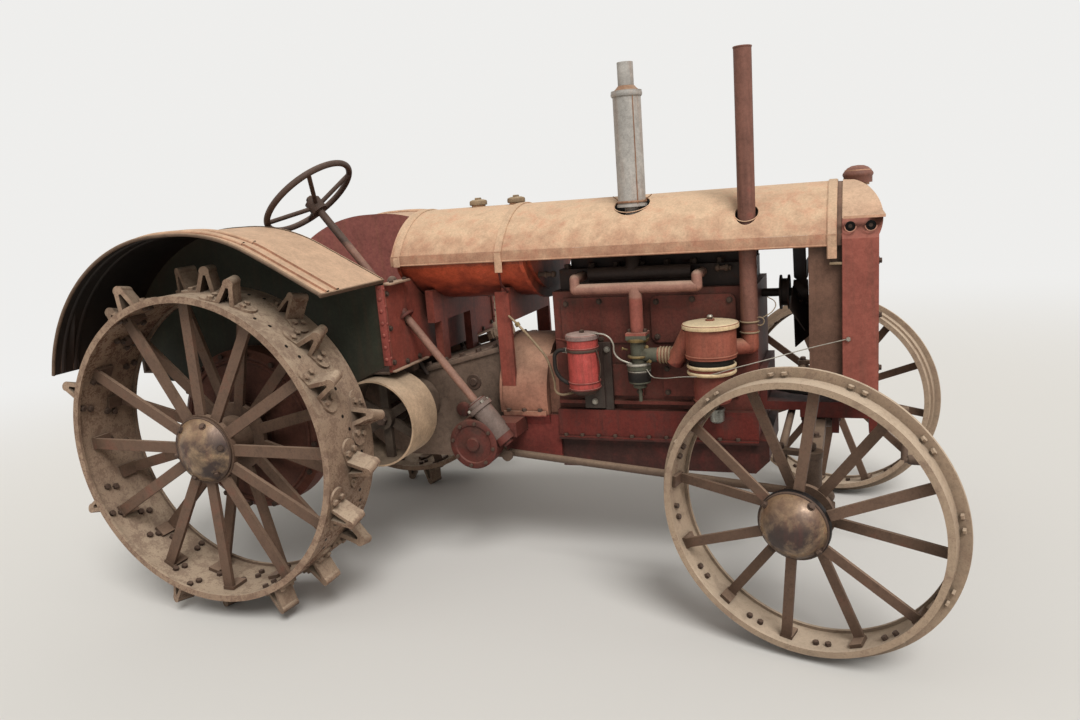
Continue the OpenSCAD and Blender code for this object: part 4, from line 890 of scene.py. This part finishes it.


# Painted shade: faces turned in towards the hood's axis are painted near black, for the shade inside the hood.
_, facing_y, facing_z = split(tree, "ShaderNodeNewGeometry", "Normal")
_, place_y, _ = split(tree, "ShaderNodeTexCoord", "Object")
radial = facing_y * place_y + facing_z * body_reach(tree, BODY_UP, spot(0, 0, HOOD_AXIS))
hood_inside_shade = other_weather(
    tree, base=0x161210, faded=0x1A1513, patch=0x221714, dust=0x302823, fade=0.0, dusty=0.1, grimy=0.6)
recoloured(hood_tan, ranged(radial, 0.0, -0.05), hood_inside_shade)
coat(hood_tan, "hood")
knee = asin(SKIRT_Y / HOOD_R)
for number, (x0, x1, low) in enumerate(((530, 556, 547), (922, 950, 513), (1993, 2021, 513))):
    mesh = bmesh.new()
    rows = []
    for x, lift in ((x0, 1.5), (x0 + 3, 5.0), (x1 - 3, 5.0), (x1, 1.5)):
        side, radius = SKIRT_Y + 2 + lift, HOOD_R + lift
        arch = [
            (radius * sin(a), HOOD_AXIS + radius * cos(a)) for a in [knee * (1 - step / 16) for step in range(33)]]
        rows.append([mesh.verts.new(spot(x, y, z)) for y, z in [(side, low), *arch, (-side, low)]])
    for first, second in zip(rows, rows[1:]):
        for corners in zip(first, first[1:], second[1:], second):
            mesh.faces.new(corners)
    made(f"hood_strap_{number}", mesh, strap_tan, smooth=30)
for hand, side in SIDES:
    bent(
        "hood_hem_" + hand, [(522, side * 279, 551), (2020, side * 279, 551)], 3.4, hood_tan,
        soft=False)
    bent(
        "band_rod_" + hand, [(936, side * 280, 516), (933, side * 262, 470), (930, side * 206, 436)], 4, dull_red,
        soft=False)
for x in (755, 908):
    lathed(
        f"tank_cap_{x}", [(0.01, 762), (20, 761), (31, 757), (33, 752), (33, 742), (30, 740)], (x, 0, 0), UP,
        neck_dust, steps=36)
    block(f"cap_grip_{x}", (x - 4, x + 4), (-24, 24), (756, 768), 3, neck_dust)
for number, (x, y, radius) in enumerate(((*muffler_at, 60), (*stack_at, 36.5))):
    lift = HOOD_AXIS + sqrt(HOOD_R ** 2 - y ** 2)
    lean = (0, y, lift - HOOD_AXIS)
    hoop(f"hole_edge_{number}", radius + 1, 1.8, (x, y, lift - 0.5), lean, hood_tan, steps=56)

# Radiator: a cast top tank on two upright side columns and a bottom tank, bolted through
# pockets, with the finned core between. The tank is tan with dust and the columns red.
frame_red = finish(
    "frame_red", 0xC4967A, 0xD0AC8E, 0xB4765E, 0x8C5440, 0xD4B69A, 0x3C2620, bump=0.25, fade=0.5, patchy=0.4,
    rusty=0.25, streaks=0.2)
two_tone(
    frame_red, 627, 3, base=0x8C443A, faded=0xAC705E, patch=0x704237, rust=0x5A382E, dust=0xAC806C, dusty=0.45,
    fade=0.25, grimy=0.8, streaks=0.5)
tree = frame_red.node_tree
guard_brown = other_weather(
    tree, base=0x684A3C, faded=0x8C6E5C, patch=0x54382D, rust=0x4A3026, dust=0x967A66, grime=0x16110F, fade=0.3,
    grimy=0.9, dusty=0.3, streaks=0.6)
behind = ranged(body_reach(tree, heading(1, 0, 0), spot(2034, 0, 0)), 0.001, -0.001)
recoloured(frame_red, behind, guard_brown)
coat(frame_red, "radiator_frame")
pocket_rim = finish(
    "pocket_rim", 0xB27864, 0xC8967E, 0x965446, 0x6E4234, 0xCCA48C, 0x3C2620, bump=0.1, fade=0.5, size=2.0)
for hand, side in SIDES:
    for x in (2058, 2114):
        # Painted shade: a near-black disc fills each bolt pocket.
        lathed(
            f"pocket_{hand}_{x}", [(0.01, 1), (14.2, 1), (14.2, 9)], (x, side * 268, 604), (0, side, 0), hole_shade,
            steps=28)
        bent(
            f"pocket_rim_{hand}_{x}", [
                (x + 15.6 * cos(a), side * 286, 604 + 15.6 * sin(a))
                for a in [pi * (1 + step / 8) for step in range(9)]], 1.7, pocket_rim)
core_black = finish(
    "core_black", 0x22201F, 0x3C3632, 0x302A26, 0x46342A, 0x60544A, 0x0A0A0A, fade=0.2, grimy=0.7, dusty=0.3)
coat(core_black, "radiator_core")
hex_heads(
    "pocket_bolts", [((x, side * 269, 604), (0, side, 0)) for x in (2058, 2114) for _, side in SIDES], 11, 5,
    dark_nut)
mesh = bmesh.new()
FINS, FINS_WIDE = 44, 460
for k in range(FINS):
    y = -230 + k * FINS_WIDE / (FINS - 1)
    bmesh.ops.create_cube(mesh, size=1, matrix=placed(2129.5, y, 350) @ Matrix.Diagonal((0.007, 0.0035, 0.498, 1)))
TUBES, TUBES_TALL = 56, 488
for k in range(TUBES):
    z = 106 + k * TUBES_TALL / (TUBES - 1)
    bmesh.ops.create_cube(mesh, size=1, matrix=placed(2128.5, 0, z) @ Matrix.Diagonal((0.005, 0.468, 0.0012, 1)))
made("core_fins", mesh, core_black)
lathed(
    "radiator_cap",
    [(0.01, 777), (18, 775.5), (32, 769), (41, 759), (44.5, 754), (46.5, 749), (45, 744), (43, 741), (43, 722)],
    (2080, 0, 0), UP, stack_rust, steps=40)
block("guard_tie", (2000, 2038), (-284, -262), (494, 501), 1.5, neck_dust)
hex_heads(
    "frame_bolts", [((2136, y, z), AHEAD) for z in (70, 180, 340, 500) for y in (-261, 261)], 15, 8, dark_nut,
    washer=22)

# Fenders: a broad sheet over each wheel with two pressed beads, a rolled outer edge and an upright
# inner plate riveted to a red angle. Tan and dusty on top, with painted shade near black underneath.
fender_top = finish(
    "fender_top", 0xAA7A62, 0xC8A486, 0xB68A70, 0x845440, 0xCEB094, 0x463228, bump=0.15, fade=0.6, patchy=0.35,
    rusty=0.25, grimy=0.25, streaks=0.1)
tree = fender_top.node_tree
_, facing_y, facing_z = split(tree, "ShaderNodeNewGeometry", "Normal")
_, place_y, _ = split(tree, "ShaderNodeTexCoord", "Object")
outward = ranged(facing_y * place_y, 0.05, 0.2)
under = ranged(facing_z, -0.02, -0.12)
upright = ranged(abs(facing_y), 0.6, 0.8) * ranged(abs(place_y), 0.447, 0.444)
inner_red = other_weather(
    tree, base=0x884844, faded=0x966054, patch=0x783E38, fade=0.2, dusty=0.2, grimy=0.6, streaks=0.3)
dark_olive = other_weather(
    tree, base=0x2C3026, faded=0x3C3C30, patch=0x362C24, rust=0x463226, dust=0x5C5242, fade=0.1, dusty=0.15,
    grimy=0.6, streaks=0.3)
# Painted shade: faces turned downwards are painted near black.
underside_shade = other_weather(
    tree, base=0x1E1A18, faded=0x28221E, patch=0x2C201B, rust=0x34241C, dust=0x3C322A, fade=0.0, dusty=0.1,
    grimy=0.5, streaks=0.0)
recoloured(fender_top, upright, blended(outward, inner_red, dark_olive))
recoloured(fender_top, under, underside_shade)
coat(fender_top, "fender_right", "fender_left")
angle_red = finish(
    "angle_red", 0x8C3E38, 0xA05C4E, 0x6E3830, 0x54342A, 0xA47A66, 0x221816, bump=0.25, fade=0.25, patchy=0.35,
    rusty=0.3, grimy=0.7, dusty=0.3, streaks=0.4)
hem_brown = finish(
    "hem_brown", 0x5C483A, 0x967A62, 0x503A2E, 0x4A3429, 0xAA9078, 0x1E1814, fade=0.35, rusty=0.3, grimy=0.4,
    dusty=0.3, size=2.0, streaks=0.0)
FENDER_R, FENDER_LIFT, REAR_X, FRONT_X = 599, 127, -10, 50
fender_edge = []
for step in range(12):
    a = radians(76.7 * (1 - step / 11))
    fender_edge.append((REAR_X - FENDER_R * sin(a), FENDER_LIFT + FENDER_R * cos(a)))
for step in range(6):
    a = radians(29.2 * step / 5)
    fender_edge.append((FRONT_X + FENDER_R * sin(a), FENDER_LIFT + FENDER_R * cos(a)))
fender_edge.append((577, 518))
for hand, side in SIDES:
    bent("fender_hem_" + hand, [(x, side * 797, z) for x, z in fender_edge], 6, hem_brown)
    for number, y in enumerate((707, 759)):
        bent(
            f"fender_bead_{hand}_{number}", [(x, side * y, z + 3) for x, z in fender_edge[:-2]], 9.9, fender_top)
    slanted = placed(577, 0, 518, radians(29.2))
    block(
        "fender_nose_" + hand, (-4, 3), sorted((side * 436, side * 799)), (-9, 5), 2, hem_brown,
        frame=slanted)
    block(
        "fender_angle_" + hand, (552, 579), sorted((side * 439, side * 454)), (224, 503), 2, angle_red)
    rivets(
        "fender_rivets_" + hand, [((565, side * 454, z), (0, side, 0)) for z in range(246, 500, 42)], 15, angle_red)
    rivets(
        "angle_rivets_" + hand, [((579.2, side * 446, z), AHEAD) for z in range(250, 500, 60)], 11, angle_red)

# Platform, shield and seat: the steel floor and dash between the fenders, and a pan seat on its
# spring. Red paint on the shield, bare trodden steel on the floor.
floor_steel = finish(
    "floor_steel", 0x46362E, 0x705C4E, 0x54362C, 0x54362A, 0x8C7866, 0x14110F, bump=0.35, fade=0.35, patchy=0.4,
    rusty=0.4, grimy=0.7, dusty=0.45, streaks=0.2)
coat(floor_steel, "platform", "drawbar")
coat(spoke_iron, "seat")
shield_red = finish(
    "shield_red", 0x84382E, 0x9E5C4A, 0x68322A, 0x543028, 0xA47C68, 0x201513, fade=0.25, patchy=0.35, rusty=0.25,
    grimy=0.75, dusty=0.3, streaks=0.5)
coat(shield_red, "dash_shield", "tank_bracket")
shield_lip = finish(
    "shield_lip", 0x967864, 0xB49880, 0x825446, 0x644234, 0xB8A088, 0x2C221D, fade=0.4, rusty=0.25, grimy=0.6,
    streaks=0.2)
for hand, side in SIDES:
    block(
        "shield_foot_" + hand, (558, 586), sorted((side * 190, side * 435)), (196.5, 203), 2, shield_lip)
    block(
        "shield_ledge_" + hand, (560, 604), sorted((side * 300, side * 437)), (500, 507), 2, shield_lip)
    hex_heads("ledge_bolts_" + hand, [((590, side * y, 507), UP) for y in (320, 410)], 14, 7, dark_nut)
    hex_heads(
        "shield_bolts_" + hand,
        [((572.5, side * y, z), AHEAD) for y, z in ((420, 230), (420, 350), (420, 470), (240, 216), (330, 216))],
        14, 7, dark_nut, washer=20)
    rivets(
        "floor_rivets_" + hand, [((x, side * 250, 197), UP) for x in (-520, -380, 320, 520)], 20, floor_steel,
        flat=0.4)
hex_heads("seat_bolts", [((-300, dy, 414), UP) for dy in (-20, 20)], 17, 9, dark_nut, washer=26)

# Steering: a round gear case with a worm housing on the right, its long shaft up to the wheel,
# and the drop arm and drag link down to the right front knuckle.
COLUMN = radians(52)
down_shaft = Vector((cos(COLUMN), 0, -sin(COLUMN)))
GEAR_X, GEAR_Z = 806, -86
worm_top = Vector((813, -300, 60))
coat(dull_red, "steering_box")
wheel_rim = finish(
    "wheel_rim", 0x4A3A32, 0x68564C, 0x3C302A, 0x54382E, 0x7A665A, 0x1A1513, patchy=0.35, rusty=0.3, dusty=0.3,
    size=2.0, streaks=0.1)
two_tone(wheel_rim, 640, 40, base=0x946E5E, faded=0xAC8A76, patch=0x78483C)
coat(wheel_rim, "steering_wheel")
link_iron = finish(
    "link_iron", 0x5C4A3F, 0x806C5A, 0x54362C, 0x4E342A, 0x947E6A, 0x1C1613, bump=0.4, fade=0.4, patchy=0.35,
    rusty=0.4, grimy=0.6, size=2.0, streaks=0.1)
coat(link_iron, "drag_link", "tie_rod", "drop_arm", "starting_crank", "knuckle_right", "knuckle_left", "front_axle")
lathed(
    "gear_cover",
    [(0.01, 13), (22, 13), (25, 10), (25, 4), (30, 2), (66, 2), (70, 6), (86, 6), (90.5, 3), (90.5, -6)],
    (GEAR_X, -334, GEAR_Z), OUT, dull_red, steps=64)
hex_heads(
    "gear_cover_bolts", [((GEAR_X + 78 * sin(a), -340, GEAR_Z + 78 * cos(a)), OUT) for a in turns(8, 10)], 12, 6,
    dark_nut)
worm_iron = finish(
    "worm_iron", 0x70605A, 0x8E7C72, 0x783C36, 0x543C32, 0x9C8878, 0x241D1B, bump=0.35, patchy=0.45, rusty=0.25,
    grimy=0.7, dusty=0.35, size=2.0, streaks=0.2)
lathed(
    "worm_housing", [
        (15, -4), (28, -4), (30, 0), (38, 4), (38, 18), (47, 20), (47, 34), (38, 37), (37.5, 150), (32, 158),
        (24, 160), (24, 172), (0.01, 172)], worm_top, down_shaft, worm_iron, steps=44)
lathed(
    "worm_nut", [(0.01, 190), (17, 190), (20, 186), (20, 170), (0.01, 170)], worm_top, down_shaft, dull_red,
    steps=6, smooth=20)
side_way = down_shaft.cross(Vector((0, 1, 0)))
worm_bolts = []
for turn in (0.6, 2.2, 3.9, 5.5):
    radial = Vector((0, cos(turn), 0)) + side_way * sin(turn)
    worm_bolts.append((worm_top + down_shaft * 20 + radial * 42, -down_shaft))
hex_heads("worm_bolts", worm_bolts, 12, 9, pale_metal)
lathed(
    "column_bracket", [(15.5, -3), (32, -3), (34, 0), (34, 6), (20, 12), (20, 26), (15.5, 26)], (574, -310, 372),
    -down_shaft, dull_red, closed=True)
lathed(
    "wheel_nut", [(0.01, 46), (13, 46), (16, 42), (16, 28), (0.01, 28)], worm_top - down_shaft * 912, -down_shaft,
    dark_nut, "steering_wheel", steps=6, smooth=20)
lathed(
    "drop_arm_nut", [(0.01, 16), (15, 16), (19, 12), (19, 0), (0.01, 0)], (GEAR_X, -250, GEAR_Z), (0, 1, 0),
    dark_nut, "drop_arm", steps=6, smooth=20)
hex_heads(
    "beam_bolts", [((WHEELBASE, side * y, -20.4), UP) for y in (120, 330, 500) for _, side in SIDES], 20, 12,
    dark_nut, washer=30)

# Belt pulley, fan, drawbar and crank: the pulley's face is polished by its belt, the fan is
# driven from the front of the engine, and the crank hangs at the very front.
pulley_face = finish(
    "pulley_face", 0xB89C80, 0xC8AE91, 0x92745C, 0x6E4E3A, 0xBEA68C, 0x281E1A, bump=0.15, fade=0.35, grimy=0.85,
    dusty=0.35, streaks=0.1)
tree = pulley_face.node_tree
here = output(tree, "ShaderNodeTexCoord", which="Object")
from_axis = output(
    tree, "ShaderNodeVectorMath", {0: here, 1: tuple(spot(PULLEY_X, 0, PULLEY_Z))}, operation="SUBTRACT")
flat = output(tree, "ShaderNodeVectorMath", {0: from_axis, 1: (1.0, 0.0, 1.0)}, operation="MULTIPLY")
reach = output(tree, "ShaderNodeVectorMath", {0: flat}, "Value", operation="LENGTH")
dark_inside = other_weather(tree, base=0x423830, faded=0x54483E, patch=0x322A24, dusty=0.15, grimy=0.9)
recoloured(pulley_face, ranged(reach, 0.149, 0.1475), dark_inside)
coat(pulley_face, "belt_pulley")
lathed(
    "pulley_nut", [(0.01, 18), (17, 18), (21, 14), (21, 0), (0.01, 0)], (PULLEY_X, -433, PULLEY_Z), OUT, dark_nut,
    "belt_pulley", steps=6, smooth=20)
coat(head_black, "fan")
fan_rivets = []
for turn in turns(4, 20):
    blade = placed(1902, 0, 380, turn, "X") @ Matrix.Rotation(radians(28), 4, "Z")
    fan_rivets += [(spot(2.2, y, z, blade), heading(1, 0, 0, blade)) for y, z in ((-14, 50), (14, 50), (0, 72))]
rivets("fan_rivets", fan_rivets, 11, dark_nut, "fan", frame=None)
lathed(
    "crank_grip", [(0.01, 0), (15, 0), (17, 8), (18, 50), (17, 96), (14, 104), (0.01, 104)], (2236, 0, -194), AHEAD,
    floor_steel, steps=24)
